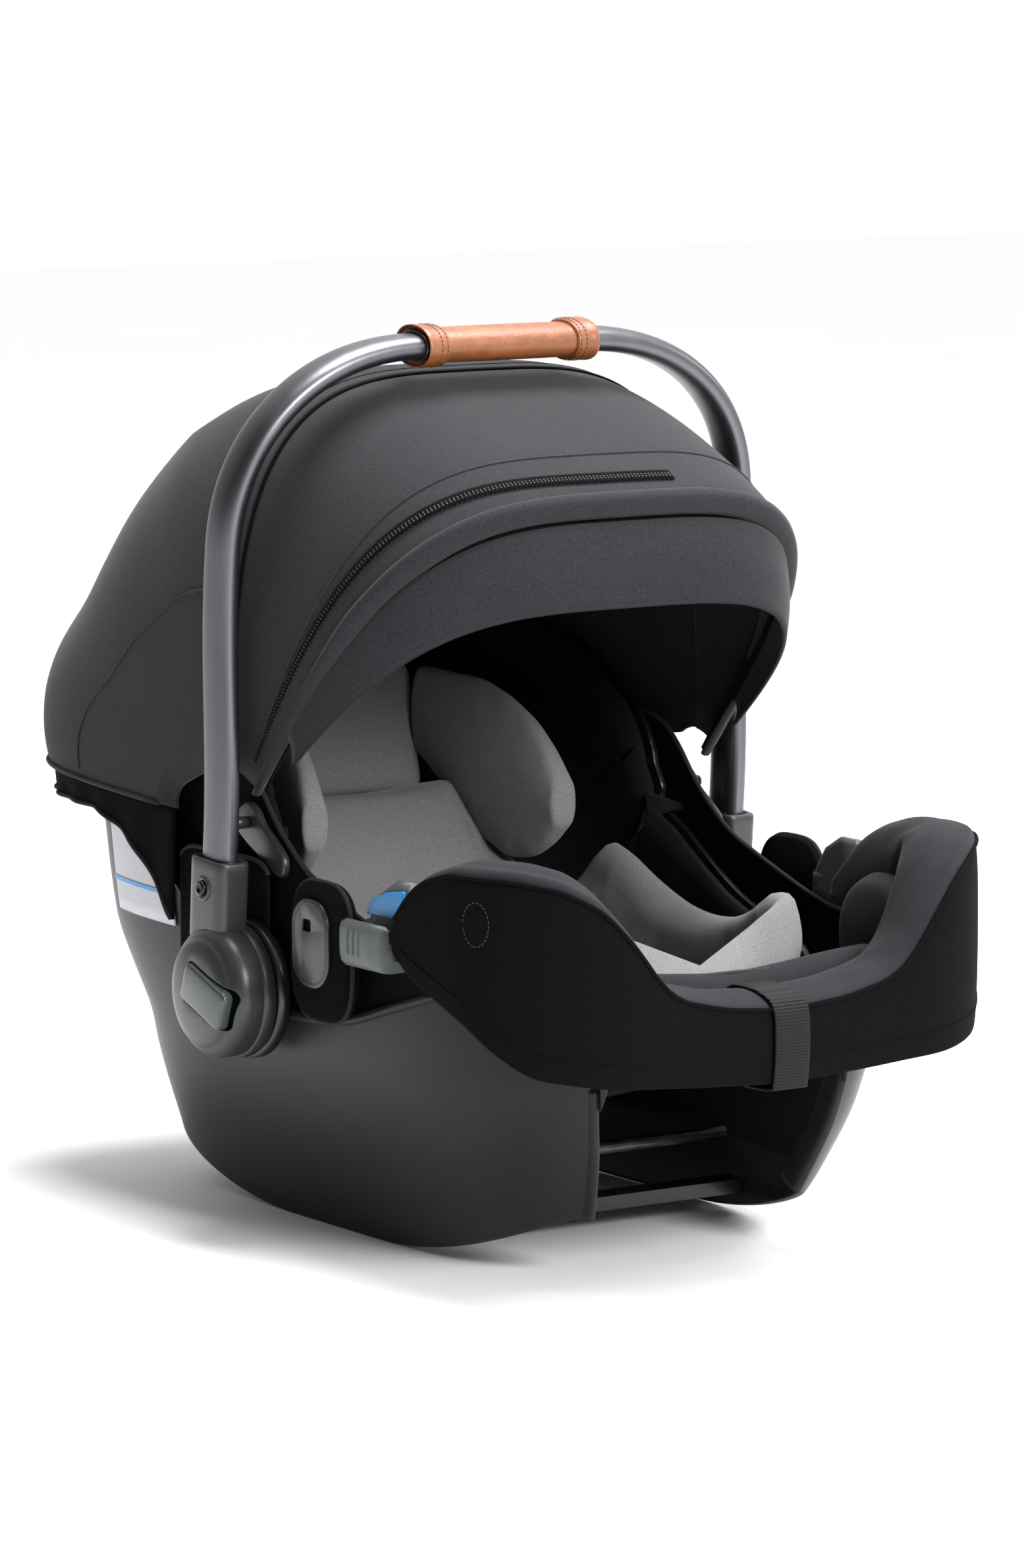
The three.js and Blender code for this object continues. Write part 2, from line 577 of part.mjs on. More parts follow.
// The eyeshade hangs inside the front bow.
function visor() {
  const side = (inset) => (i, j) => {
    const turn = turnAt(HOOD_TURNS, j) * 0.9;
    const top = hoodPoint(FRONT_ANGLE - 1.6, turn, 270 - inset, 175 - inset);
    return top.lerp(hoodPoint(39, turn, 230 - inset, 170 - inset, 4), i);
  };
  return sheet(3, HOOD_TURNS.length, side(0), side(2.2));
}
add("hood_visor", visor(), MATERIAL.hood);

// Each bracket carries the hood's pin, and a grip tab that points to the foot end.
function hoodBracket() {
  const shape = new THREE.Shape();
  shape.absarc(HOOD.y, HOOD.z, 13, -0.3 * Math.PI, 0.8 * Math.PI);
  shape.lineTo(-30, 252);
  shape.lineTo(-50, 240);
  shape.lineTo(-44, 226);
  shape.lineTo(-16, 236);
  return join(plateX(shape, 165.8, 171), barX(4, 170, 181.6, HOOD.y, HOOD.z, 14));
}
addPair("hood_bracket", hoodBracket(), MATERIAL.guide);

// The skirt of the cover hangs over the shell from the hood's lower edge.
const SKIRT_BOTTOM = [[58, 178], [74, 190], [94, 210], [114, 228], [140, 242], [176, 252], [400, 254]];
function skirt() {
  const side = (width, length) => (i, j) => {
    const half = 1 - Math.abs(j * 2 - 1);
    const angle = (THREE.MathUtils.lerp(0.24, 1, half) ** 2.3 * Math.PI) / 2;
    const x = Math.sign(0.5 - j) * width * Math.cos(angle) ** (2 / 4.6);
    const y = SHELL.centre + length * Math.sin(angle) ** (2 / 4.6);
    const z = THREE.MathUtils.lerp(along(SKIRT_BOTTOM, y), 264 + 14 * Math.sin(angle) ** 2, i);
    return new THREE.Vector3(x, y - (1 - i) * 10 * Math.sin(angle) ** 2, z);
  };
  return sheet(3, 23, side(181.4, 343), side(178.6, 340.2));
}
add("rim_skirt", skirt(), MATERIAL.cover);

// ---- base release lever at the head end of the shell ----
const LEVER = { z: 196, y: 266, half: 44 };
function leverHousing() {
  const { half, y, z } = LEVER;
  const side = outline([[y - 11, z - 16], [y + 10, z - 16], [y + 10, z + 22], [y - 0.5, z + 22]]);
  return cut(plateX(side, -half - 9, half + 9), box(-half - GAP, half + GAP, y + 3, y + 12, z - 8.5, z + 20));
}
add("lever_housing", leverHousing(), MATERIAL.bucket);
add(
  "base_release_lever",
  box(-LEVER.half, LEVER.half, LEVER.y + 3.5, LEVER.y + 14, LEVER.z - 8, LEVER.z + 8),
  MATERIAL.guide,
);

// ---- handle ----
const BOW_START = 260; // the arch bows toward the head end above this height
const ARCH_ROUND = 0.9; // below 1, the shoulders are squarer than an ellipse's
// The arch in the handle's own frame: x across, y toward the head end and z above the pivot.
class ArchCurve extends THREE.Curve {
  getPoint(t, target = new THREE.Vector3()) {
    const { halfWidth, top, shoulder, flat, foot } = HANDLE;
    const [a, b] = [halfWidth - flat, top - shoulder];
    const lengths = [shoulder - foot, 1.58 * ((a + b) / 2), flat];
    const total = lengths[0] + lengths[1] + lengths[2];
    const sign = t > 0.5 ? 1 : -1;
    let run = (t > 0.5 ? 1 - t : t) * 2 * total;
    const bowed = (x, z) => {
      const rise = Math.max(0, (z - BOW_START) / (top - BOW_START));
      return target.set(sign * x, (HANDLE.bow * (1 - Math.cos(2 * Math.PI * rise))) / 2, z - HUB.z);
    };
    if (run <= lengths[0]) return bowed(halfWidth, foot + run);
    run -= lengths[0];
    if (run <= lengths[1]) {
      const angle = ((run / lengths[1]) * Math.PI) / 2;
      return bowed(flat + a * Math.cos(angle) ** ARCH_ROUND, shoulder + b * Math.sin(angle) ** ARCH_ROUND);
    }
    run -= lengths[1];
    return bowed(flat - run, top);
  }
}

const oval = (wide, high) => {
  const shape = new THREE.Shape();
  shape.absellipse(0, 0, wide / 2, high / 2, 0, 2 * Math.PI);
  return shape;
};

function handleTube() {
  return new THREE.ExtrudeGeometry(oval(HANDLE.deep, HANDLE.across), {
    steps: 36,
    bevelEnabled: false,
    extrudePath: new ArchCurve(),
    curveSegments: 5,
  });
}
add("handle_tube", handleTube(), MATERIAL.tube, handle);

// An oval bar along Z, in the handle's frame.
function ovalZ(across, deep, from, to, x) {
  const settings = { depth: to - from, bevelEnabled: false, curveSegments: 6 };
  return new THREE.ExtrudeGeometry(oval(across, deep), settings).translate(x, 0, from);
}

const hubInHandle = new THREE.Matrix4()
  .makeRotationX(-HANDLE.lean * DEG)
  .multiply(new THREE.Matrix4().makeTranslation(0, -HANDLE_FOOT_Y, -HUB.z));
const BUTTON = { long: 50, high: 26, tilt: 20, travel: 6, rest: 213.5, face: 222 };

function buttonBlock(grow, from, to) {
  const face = roundedRectangle(BUTTON.long + grow * 2, BUTTON.high + grow * 2, 5 + grow);
  const block = new THREE.ExtrudeGeometry(face, { depth: to - from, bevelEnabled: false, curveSegments: 3 });
  block.rotateX(Math.PI / 2).rotateZ(Math.PI / 2).translate(from, 0, 0);
  return block.rotateX(BUTTON.tilt * DEG).translate(0, HUB.y, HUB.z);
}

function handleHub() {
  const { inner, face, radius } = HUB;
  const depth = face - inner;
  const profile = [
    [0, 0], [radius, 0], [radius, depth - 12], [radius - 3, depth - 6], [radius - 9, depth - 1], [0, depth],
  ];
  const dome = new THREE.LatheGeometry(profile.map((p) => new THREE.Vector2(...p)), 28)
    .rotateZ(-Math.PI / 2)
    .translate(inner, HUB.y, HUB.z)
    .applyMatrix4(hubInHandle);
  const neck = ovalZ(24, 40, 20, 84, HANDLE.halfWidth);
  const boss = barX(7, 205, 209.6, 0, 66);
  const body = join(dome, neck, boss);
  return cut(
    body,
    ovalZ(HANDLE.across + 2 * GAP, HANDLE.deep + 2 * GAP, HANDLE.foot - HUB.z - GAP, 120, HANDLE.halfWidth),
    barX(8 + GAP, 150, 206, HUB.y, HUB.z).applyMatrix4(hubInHandle),
    buttonBlock(GAP, 207, 240).applyMatrix4(hubInHandle),
    barX(2.9, 204, 215, 0, 66, 12),
    box(170, HUB.inner, -80, 80, -60, 120),
  );
}
addPair("handle_hub", handleHub(), MATERIAL.trim, handle);

const screw = join(barX(2.5, 206, 210.2, 0, 66, 10), barX(5, 210, 212.4, 0, 66, 12));
addPair("socket_screw", screw, MATERIAL.steel, handle);

// The leather sleeve, thicker at both ends.
function gripSleeve() {
  const tubeAlong = (wide, high, half, x = 0) => {
    const settings = { depth: half * 2, bevelEnabled: false, curveSegments: 7 };
    const bar = new THREE.ExtrudeGeometry(oval(wide, high), settings);
    return bar.rotateX(Math.PI / 2).rotateZ(Math.PI / 2).translate(x - half, 0, HANDLE.top - HUB.z);
  };
  const body = join(tubeAlong(37, 23, 62), tubeAlong(41, 27, 5, -58), tubeAlong(41, 27, 5, 58));
  return cut(body, tubeAlong(HANDLE.deep + 2, HANDLE.across + 2, 80));
}
add("grip_sleeve", gripSleeve(), MATERIAL.leather, handle);
const releaseButton = buttonBlock(0, BUTTON.rest, BUTTON.face).applyMatrix4(hubInHandle);
addPair("release_button", releaseButton, MATERIAL.button, handle);

carSeat.position.y = MIDDLE_Y;
export default carSeat;
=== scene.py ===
from math import atan2, copysign, cos, degrees, hypot, pi, radians, sin
import bpy
import bmesh
import numpy as np
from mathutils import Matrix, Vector


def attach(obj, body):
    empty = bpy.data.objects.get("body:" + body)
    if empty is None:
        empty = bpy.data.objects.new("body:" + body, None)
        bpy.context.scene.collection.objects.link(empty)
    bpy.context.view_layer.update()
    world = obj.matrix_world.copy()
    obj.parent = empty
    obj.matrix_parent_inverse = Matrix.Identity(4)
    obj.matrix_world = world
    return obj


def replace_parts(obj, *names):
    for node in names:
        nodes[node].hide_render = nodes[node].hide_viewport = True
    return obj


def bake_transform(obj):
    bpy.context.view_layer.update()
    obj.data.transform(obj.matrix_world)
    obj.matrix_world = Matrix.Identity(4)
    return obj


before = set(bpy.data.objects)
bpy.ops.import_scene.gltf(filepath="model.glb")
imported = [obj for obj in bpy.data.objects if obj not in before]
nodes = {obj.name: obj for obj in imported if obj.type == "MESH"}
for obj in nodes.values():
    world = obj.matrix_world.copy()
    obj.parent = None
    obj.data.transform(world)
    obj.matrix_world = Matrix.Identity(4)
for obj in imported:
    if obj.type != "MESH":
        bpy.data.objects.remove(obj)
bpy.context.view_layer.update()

# Lengths are in millimetres in the seat's own design frame. Its y = 0 is the hood's pivot, which lies
# MIDDLE_Y further along the frame's y.
MIDDLE_Y = 14.2
HUB = HUB_Y, HUB_Z = -14, 158
HOOD_Z = 262
SIDES = (("right", 1), ("left", -1))


def at(x, y, z):
    return Vector((x / 1000, (y + MIDDLE_Y) / 1000, z / 1000))


def along(points, x):
    if x <= points[0][0]:
        return points[0][1]
    for (x0, y0), (x1, y1) in zip(points, points[1:]):
        if x < x1:
            return y0 + (y1 - y0) * (x - x0) / (x1 - x0)
    return points[-1][1]


def eased(points, x, reach):
    """The value along a line of points, with its corners rounded over a reach either side."""
    return sum(along(points, x + reach * k / 2) for k in range(-2, 3)) / 5


def power(value, exponent):
    return copysign(abs(value) ** exponent, value)


def lerp(a, b, t):
    return a + (b - a) * t


# ---- materials ----
class Nodes:
    """A short way to write a material's node tree."""

    def __init__(self, name):
        self.material = bpy.data.materials.new(name)
        self.material.use_nodes = True
        self.tree = self.material.node_tree
        self.shader = self.tree.nodes["Principled BSDF"]
        self.space = self.tree.nodes.new("ShaderNodeTexCoord").outputs["Object"]

    def link(self, source, target):
        if hasattr(source, "bl_idname") or hasattr(source, "is_linked"):
            self.tree.links.new(source, target)
        else:
            target.default_value = source

    def node(self, kind, out=0, settings=None, **inputs):
        made = self.tree.nodes.new("ShaderNode" + kind)
        for key, value in (settings or {}).items():
            setattr(made, key, value)
        for key, value in inputs.items():
            name = key.replace("_", " ")
            socket = made.inputs[int(key[1:])] if key[0] == "i" and key[1:].isdigit() else made.inputs[name]
            self.link(value, socket)
        return made.outputs[out]

    def noise(self, scale, detail=3, roughness=0.5, vector=None):
        return self.node(
            "TexNoise", Vector=vector or self.space, Scale=scale, Detail=detail, Roughness=roughness)

    def wave(self, scale, direction, distortion=0.0, vector=None):
        return self.node(
            "TexWave", 1, {"bands_direction": direction}, Vector=vector or self.space, Scale=scale,
            Distortion=distortion, Detail=1.0)

    def times(self, a, b):
        return self.node("Math", 0, {"operation": "MULTIPLY"}, i0=a, i1=b)

    def plus(self, a, b):
        return self.node("Math", 0, {"operation": "ADD"}, i0=a, i1=b)

    def stretch(self, x, y, z):
        return self.node("Mapping", Vector=self.space, Scale=(x, y, z))

    def ramp(self, factor, low, high):
        made = self.tree.nodes.new("ShaderNodeValToRGB")
        made.color_ramp.elements[0].position, made.color_ramp.elements[1].position = low, high
        self.tree.links.new(factor, made.inputs[0])
        return made.outputs[0]

    def mix(self, factor, a, b):
        made = self.tree.nodes.new("ShaderNodeMix")
        made.data_type = "RGBA"
        self.link(factor, made.inputs[0])
        self.link((*a, 1) if isinstance(a, tuple) else a, made.inputs[6])
        self.link((*b, 1) if isinstance(b, tuple) else b, made.inputs[7])
        return made.outputs[2]

    def bump(self, height, strength, distance, under=None):
        made = self.tree.nodes.new("ShaderNodeBump")
        made.inputs["Strength"].default_value = strength
        made.inputs["Distance"].default_value = distance
        self.tree.links.new(height, made.inputs["Height"])
        if under is not None:
            self.tree.links.new(under, made.inputs["Normal"])
        return made.outputs[0]

    def finish(self, colour, roughness, normal=None, **fixed):
        self.link((*colour, 1) if isinstance(colour, tuple) else colour, self.shader.inputs["Base Color"])
        self.link(roughness, self.shader.inputs["Roughness"])
        if normal is not None:
            self.tree.links.new(normal, self.shader.inputs["Normal"])
        for key, value in fixed.items():
            self.shader.inputs[key.replace("_", " ")].default_value = value
        return self.material


def scaled(colour, k):
    return tuple(c * k for c in colour)


def cloth(name, colour, grain=1400, weave=None, melange=0.25, sheen=0.25, depth=0.0003, gloss=0.12):
    """A knit or woven cloth: fine grain, a slow drift of colour and, for twill, fine diagonal ribs."""
    n = Nodes(name)
    fine = n.noise(grain, 2, 0.6)
    drift = n.noise(14, 3)
    flecks = n.mix(n.ramp(fine, 0.35, 0.68), scaled(colour, 1 - melange), scaled(colour, 1 + melange * 1.5))
    shade = n.mix(n.ramp(drift, 0.3, 0.7), scaled(colour, 0.9), scaled(colour, 1.1))
    base = n.mix(0.5, flecks, shade)
    height = fine
    if weave:
        turned = n.node("Mapping", Vector=n.space, Rotation=(0.6, 0.78, 0.5))
        rib = n.wave(weave, "X", 0.4, turned)
        cross = n.wave(weave * 0.9, "Z", 0.4, turned)
        ribs = n.times(rib, cross)
        height = n.plus(ribs, n.times(fine, 0.4))
        base = n.mix(n.ramp(ribs, 0.1, 0.7), scaled(colour, 0.55), base)
    normal = n.bump(height, 0.5, depth)
    folds = n.bump(n.noise(22, 2), 0.25, 0.002, normal)
    return n.finish(base, 0.92, folds, Sheen_Weight=sheen, Sheen_Roughness=0.45, Specular_IOR_Level=gloss)


def moulded(name, colour, rough=0.42, coat=0.0, gloss=0.45):
    """Moulded plastic: fine grain, soft patches of gloss, and paler scuffs where the surface turns."""
    n = Nodes(name)
    fine = n.noise(2200, 2, 0.55)
    patches = n.noise(9, 4)
    edges = n.node("NewGeometry", 7)
    scuffs = n.times(n.ramp(edges, 0.53, 0.62), n.ramp(n.noise(60, 4), 0.45, 0.7))
    base = n.mix(n.ramp(patches, 0.3, 0.72), scaled(colour, 0.93), scaled(colour, 1.08))
    base = n.mix(n.times(scuffs, 0.35), base, scaled(colour, 1.9))
    shine = n.plus(n.times(patches, 0.14), rough - 0.07)
    return n.finish(base, shine, n.bump(fine, 0.35, 0.00012), Coat_Weight=coat, Specular_IOR_Level=gloss)


def metal(name, colour, rough):
    n = Nodes(name)
    fine = n.noise(2600, 2)
    drawn = n.noise(90, 3, 0.6, n.stretch(1, 1, 0.08))
    base = n.mix(n.ramp(drawn, 0.35, 0.7), scaled(colour, 0.94), scaled(colour, 1.06))
    shine = n.plus(n.times(drawn, 0.1), rough - 0.05)
    return n.finish(base, shine, n.bump(fine, 0.25, 0.00005), Metallic=1.0)


def hide_leather(name, colour):
    n = Nodes(name)
    pebbles = n.node("TexVoronoi", 0, Vector=n.space, Scale=520.0)
    creases = n.noise(160, 5, 0.65, n.stretch(0.6, 1, 1))
    patches = n.noise(28, 4)
    base = n.mix(n.ramp(patches, 0.3, 0.7), scaled(colour, 0.78), scaled(colour, 1.15))
    base = n.mix(n.ramp(creases, 0.42, 0.66), base, scaled(colour, 0.72))
    worn = n.ramp(n.node("NewGeometry", 7), 0.53, 0.6)
    base = n.mix(n.times(worn, 0.5), base, scaled(colour, 1.5))
    height = n.plus(n.times(pebbles, 0.6), creases)
    shine = n.plus(n.times(patches, 0.2), 0.32)
    return n.finish(base, shine, n.bump(height, 0.4, 0.0004), Specular_IOR_Level=0.5)


def ribbed(name, colour):
    """Webbing, with ribs across its length, 1.9 mm apart."""
    n = Nodes(name)
    rib = n.wave(314 / 1.9, "Z", 0.15)
    fine = n.noise(2400, 2)
    base = n.mix(n.ramp(rib, 0.1, 0.8), scaled(colour, 0.45), scaled(colour, 1.5))
    height = n.plus(rib, n.times(fine, 0.3))
    return n.finish(base, 0.62, n.bump(height, 0.8, 0.0006), Sheen_Weight=0.02, Specular_IOR_Level=0.12)


SHELL = moulded("shell_plastic", (0.011, 0.011, 0.012), 0.42, gloss=0.16)
DARK = moulded("dark_plastic", (0.005, 0.005, 0.0055), 0.3, coat=0.15)
TRIM = moulded("trim_plastic", (0.018, 0.018, 0.02), 0.34)
GREEN = moulded("guide_plastic", (0.06, 0.068, 0.066), 0.48)
BUTTON = moulded("button_finish", (0.035, 0.044, 0.042), 0.24, coat=0.1)
BLUE = moulded("blue_inset", (0.02, 0.19, 0.45), 0.4)
RED = moulded("red_plastic", (0.45, 0.03, 0.02), 0.35)
LABEL = moulded("label_face", (0.42, 0.43, 0.46), 0.5)
TUBE = metal("handle_metal", (0.115, 0.115, 0.126), 0.38)
STEEL = metal("steel", (0.4, 0.4, 0.42), 0.3)
BLACK_STEEL = metal("black_steel", (0.03, 0.03, 0.035), 0.3)
HOOD = cloth("hood_cloth", (0.0165, 0.0165, 0.019), grain=900, melange=0.5, sheen=0.09)
LINING = cloth("hood_lining", (0.0025, 0.0025, 0.003), grain=900, sheen=0.0)
TWILL = cloth(
    "cover_twill", (0.0046, 0.0046, 0.0052), weave=260, melange=0.4, sheen=0.01, depth=0.0005, gloss=0.03)
SMOOTH = cloth("cover_smooth", (0.0145, 0.0145, 0.0172), grain=1200, melange=0.3, sheen=0.04)
INNER = cloth("cover_inner", (0.004, 0.004, 0.0045), grain=1200, sheen=0.01)
INSERT = cloth("insert_jersey", (0.135, 0.135, 0.138), grain=1000, melange=0.3, sheen=0.15)
HEAD = cloth("head_jersey", (0.165, 0.165, 0.168), grain=1000, melange=0.3, sheen=0.15)
THREAD = cloth("thread", (0.03, 0.03, 0.033), grain=3000, sheen=0.05)
LEATHER = hide_leather("grip_leather", (0.2, 0.064, 0.018))
WEBBING = ribbed("webbing", (0.005, 0.005, 0.0055))
FOAM = cloth("foam", (0.05, 0.05, 0.052), grain=800, sheen=0.1)


# ---- mesh helpers ----
def added(name, data):
    made = bpy.data.objects.new(name, data)
    bpy.context.scene.collection.objects.link(made)
    return made


def around(count):
    """Angles spaced evenly round a circle."""
    return [2 * pi * k / count for k in range(count)]


def quads(rows, columns, round_row=True, closed=False):
    """The faces between rows of points. A row can be round, and the last row can join the first."""
    faces = []
    for i in range(rows if closed else rows - 1):
        for j in range(columns if round_row else columns - 1):
            here, ahead, right = i * columns, (i + 1) % rows * columns, (j + 1) % columns
            faces.append((here + j, here + right, ahead + right, ahead + j))
    return faces


def end_faces(rows, columns):
    return [tuple(range(columns))[::-1], tuple((rows - 1) * columns + j for j in range(columns))]


def mesh_object(name, points, faces, material):
    mesh = bpy.data.meshes.new(name)
    mesh.from_pydata([tuple(p) for p in points], [], faces)
    mesh.validate()
    mesh.shade_smooth()
    mesh.materials.append(material)
    return added(name, mesh)


def outward(made):
    bm = bmesh.new()
    bm.from_mesh(made.data)
    bmesh.ops.recalc_face_normals(bm, faces=bm.faces)
    bm.to_mesh(made.data)
    bm.free()
    return made


def surface(name, rows, columns, point, material):
    """A grid of quads through point(i, j), i and j from 0 to 1."""
    points = [point(i / (rows - 1), j / (columns - 1)) for i in range(rows) for j in range(columns)]
    return mesh_object(name, points, quads(rows, columns, round_row=False), material)


def thicken(made, thickness, offset=-1.0):
    solid = made.modifiers.new("thickness", "SOLIDIFY")
    solid.thickness, solid.offset, solid.use_even_offset = thickness / 1000, offset, True
    return made


def soften(made, width, segments=2, angle=40):
    bevel = made.modifiers.new("soft_edges", "BEVEL")
    bevel.width, bevel.segments, bevel.angle_limit = width / 1000, segments, radians(angle)
    return made


def subdivide(made):
    division = made.modifiers.new("subdivision", "SUBSURF")
    division.levels = division.render_levels = 1
    return made


def bake(made):
    """Applies the modifiers that are on a piece."""
    evaluated = made.evaluated_get(bpy.context.evaluated_depsgraph_get())
    mesh = bpy.data.meshes.new_from_object(evaluated)
    made.modifiers.clear()
    made.data = mesh
    return made


def sweep(name, path, section, material, up=None, closed=False):
    """A bar of one section along a path of points: section(t) gives [across, up] offsets in millimetres."""
    path = [Vector(p) for p in path]
    rings, previous = [], None
    for k, p in enumerate(path):
        ahead = path[(k + 1) % len(path)] if closed or k + 1 < len(path) else p
        behind = path[k - 1] if closed or k else p
        tangent = (ahead - behind).normalized()
        if up is not None:
            side = tangent.cross(Vector(up(k / (len(path) - 1)))).normalized()
        elif previous is None:
            steady = Vector((0, 0, 1)) if abs(tangent.z) < 0.9 else Vector((0, 1, 0))
            side = tangent.cross(steady).normalized()
        else:
            side = (previous - tangent * previous.dot(tangent)).normalized()
        previous = side
        top = side.cross(tangent)
        rings.append([p + (side * a + top * b) / 1000 for a, b in section(k / (len(path) - 1))])
    size = len(rings), len(rings[0])
    points = [p for ring in rings for p in ring]
    faces = quads(*size, closed=closed) + ([] if closed else end_faces(*size))
    return outward(mesh_object(name, points, faces, material))


def oval(wide, high, sides=16, exponent=2.0):
    k = 2 / exponent
    return [(power(cos(a), k) * wide / 2, power(sin(a), k) * high / 2) for a in around(sides)]


def cord(name, path, thick, material, sides=8, **more):
    return sweep(name, path, lambda t: oval(thick, thick, sides), material, **more)


def lathe(name, profile, centre, material, sides, sign):
    """A turned shape about X: profile lists [radius, distance from the middle plane]."""
    y, z = centre
    points = [
        at(sign * x, y + r * cos(a), z + r * sin(a)) for r, x in profile for a in around(sides)]
    size = len(profile), sides
    return outward(mesh_object(name, points, quads(*size) + end_faces(*size), material))


def prism(name, outline, x0, x1, material, bevel=1.0):
    """A plate across X whose outline is a list of [y, z], with soft edges."""
    count = len(outline)
    points = [at(x, y, z) for x in (x0, x1) for y, z in outline]
    faces = [tuple(range(count)), tuple(range(count, 2 * count))[::-1]]
    faces += [(j, (j + 1) % count, count + (j + 1) % count, count + j) for j in range(count)]
    made = outward(mesh_object(name, points, faces, material))
    return soften(made, bevel, 3, 30) if bevel else made


def rounded(w, h, radius, y=0, z=0, turn=0, steps=6):
    """A rectangle with round corners, as [y, z] points."""
    points = []
    for k, (sy, sz) in enumerate(((1, 1), (-1, 1), (-1, -1), (1, -1))):
        for s in range(steps + 1):
            a = pi / 2 * (k + s / steps)
            py = sy * (w / 2 - radius) + radius * cos(a)
            pz = sz * (h / 2 - radius) + radius * sin(a)
            c, d = cos(radians(turn)), sin(radians(turn))
            points.append((y + py * c - pz * d, z + py * d + pz * c))
    return points


def cut(made, *tools):
    for tool in tools:
        boolean = made.modifiers.new("cut", "BOOLEAN")
        boolean.operation, boolean.object, boolean.solver = "DIFFERENCE", tool, "EXACT"
    bake(made)
    for tool in tools:
        bpy.data.objects.remove(tool)
    return made


def joined(name, *pieces):
    """Several pieces as one object, each with its own material."""
    bm, materials = bmesh.new(), []
    for piece in pieces:
        bake(piece)
        start = len(bm.faces)
        bm.from_mesh(piece.data)
        bm.faces.ensure_lookup_table()
        for face in bm.faces[start:]:
            material = piece.data.materials[face.material_index]
            if material not in materials:
                materials.append(material)
            face.material_index = materials.index(material)
    mesh = bpy.data.meshes.new(name)
    bm.to_mesh(mesh)
    bm.free()
    for material in materials:
        mesh.materials.append(material)
    for piece in pieces:
        bpy.data.objects.remove(piece)
    return added(name, mesh)


def place(made, body, slot, *replaced):
    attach(made, body)
    if replaced:
        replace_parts(made, *replaced)
    return made


def cover(made, *replaced, fill=None):
    """A piece of the seat's own dark cover. A padded one is given a fill, which is not used."""
    place(made, "shell", "cover_cloth", *replaced)
    return made if fill else made


def piping(name, path, thick, material, **more):
    return cover(cord(name, path, thick, material, **more))


def cloth_sheet(made, thick, offset=-1.0):
    """Gives a surface its thickness, baked into its mesh."""
    bake(thicken(made, thick, offset))
    return made


# ---- stage, lights and camera ----
def aimed(name, data, spot, target):
    made = added(name, data)
    made.location = spot
    made.rotation_euler = (Vector(target) - Vector(spot)).to_track_quat("-Z", "Y").to_euler()
    return made


def studio():
    finish = Nodes("floor")
    finish.finish(finish.mix(finish.noise(3), (0.86, 0.86, 0.87), (0.89, 0.89, 0.9)), 0.6)
    corners = [(-9, -9, 0), (9, -9, 0), (9, 9, 0), (-9, 9, 0)]
    mesh_object("floor", corners, [(0, 1, 2, 3)], finish.material)
    world = bpy.data.worlds.new("studio")
    world.use_nodes = True
    tree = world.node_tree
    tree.nodes["Background"].inputs[0].default_value = (1, 1, 1, 1)
    split = tree.nodes.new("ShaderNodeSeparateXYZ")
    side = tree.nodes.new("ShaderNodeMapRange")
    for name, value in (("From Min", -0.75), ("From Max", 0.2), ("To Min", 0.12), ("To Max", 1.1)):
        side.inputs[name].default_value = value
    tree.links.new(tree.nodes.new("ShaderNodeTexCoord").outputs["Generated"], split.inputs[0])
    tree.links.new(split.outputs["X"], side.inputs["Value"])
    tree.links.new(side.outputs["Result"], tree.nodes["Background"].inputs[1])
    bpy.context.scene.world = world
    for name, spot, size, energy in (
            ("key", (0.2, -3.0, 1.7), 1.3, 135), ("top", (0.4, 0.1, 2.6), 1.5, 130),
            ("far_edge", (2.4, -0.6, 1.4), 0.9, 12)):
        light = bpy.data.lights.new(name, "AREA")
        light.shape, light.size, light.energy = "DISK", size, energy
        aimed(name, light, spot, (0, 0, 0.3))
    sun = bpy.data.lights.new("sky", "SUN")
    sun.energy, sun.angle = 1.1, 1.1
    aimed("sky", sun, (0, 0, 0), (-0.5, 0.1, -1))
    camera = bpy.data.cameras.new("camera")
    camera.lens, camera.sensor_width, camera.sensor_fit = 156.9, 36, "AUTO"
    bpy.context.scene.camera = aimed("camera", camera, (-2.434, -3.641, 0.869), (0, -0.0323, 0.2787))
    bpy.context.scene.view_settings.view_transform = "Standard"


studio()


# ---- moulded shell ----
SHELL_WIDTH = [[0, 122], [38, 136], [84, 155], [113, 164], [150, 169], [200, 172], [340, 171]]
SHELL_FRONT = [[0, 192], [19, 216], [38, 232], [60, 243], [84, 254], [118, 262], [200, 261], [340, 261]]
SHELL_REAR = [[0, 240], [60, 240], [118, 236], [146, 258], [171, 278], [250, 298], [300, 322], [340, 334]]
SHELL_RIM = [
    [-400, 190], [-236, 190], [-115, 152], [-60, 147], [14, 147], [64, 200], [150, 262], [250, 302],
    [400, 322]]
MOUTH_HALF, MOUTH_TOP = 92, 152


def rocker(y):
    return max(0, abs(y + 30) - 50) ** 2 / 760


def shell_rim(y):
    return eased(SHELL_RIM, y, 14)


def shell_xy(z, turn, inset=0.0):
    angle = turn * 2 * pi
    length = eased(SHELL_REAR if sin(angle) > 0 else SHELL_FRONT, z, 8) - inset
    x = (eased(SHELL_WIDTH, z, 12) - inset) * power(cos(angle), 0.5)
    return x, -26 + length * power(sin(angle), 0.5)


def level_on(line, turn, start):
    """The height where a column of the shell crosses a line drawn in side view."""
    z = start
    for _ in range(14):
        z = lerp(z, line(shell_xy(z, turn)[1]), 0.6)
    return z


def mouth_turn():
    """How far round the shell, from its right side toward the foot end, the front opening begins."""
    low, high = 0.75, 1.0
    for _ in range(30):
        middle = (low + high) / 2
        low, high = (middle, high) if shell_xy(90, middle)[0] < MOUTH_HALF else (low, middle)
    return low


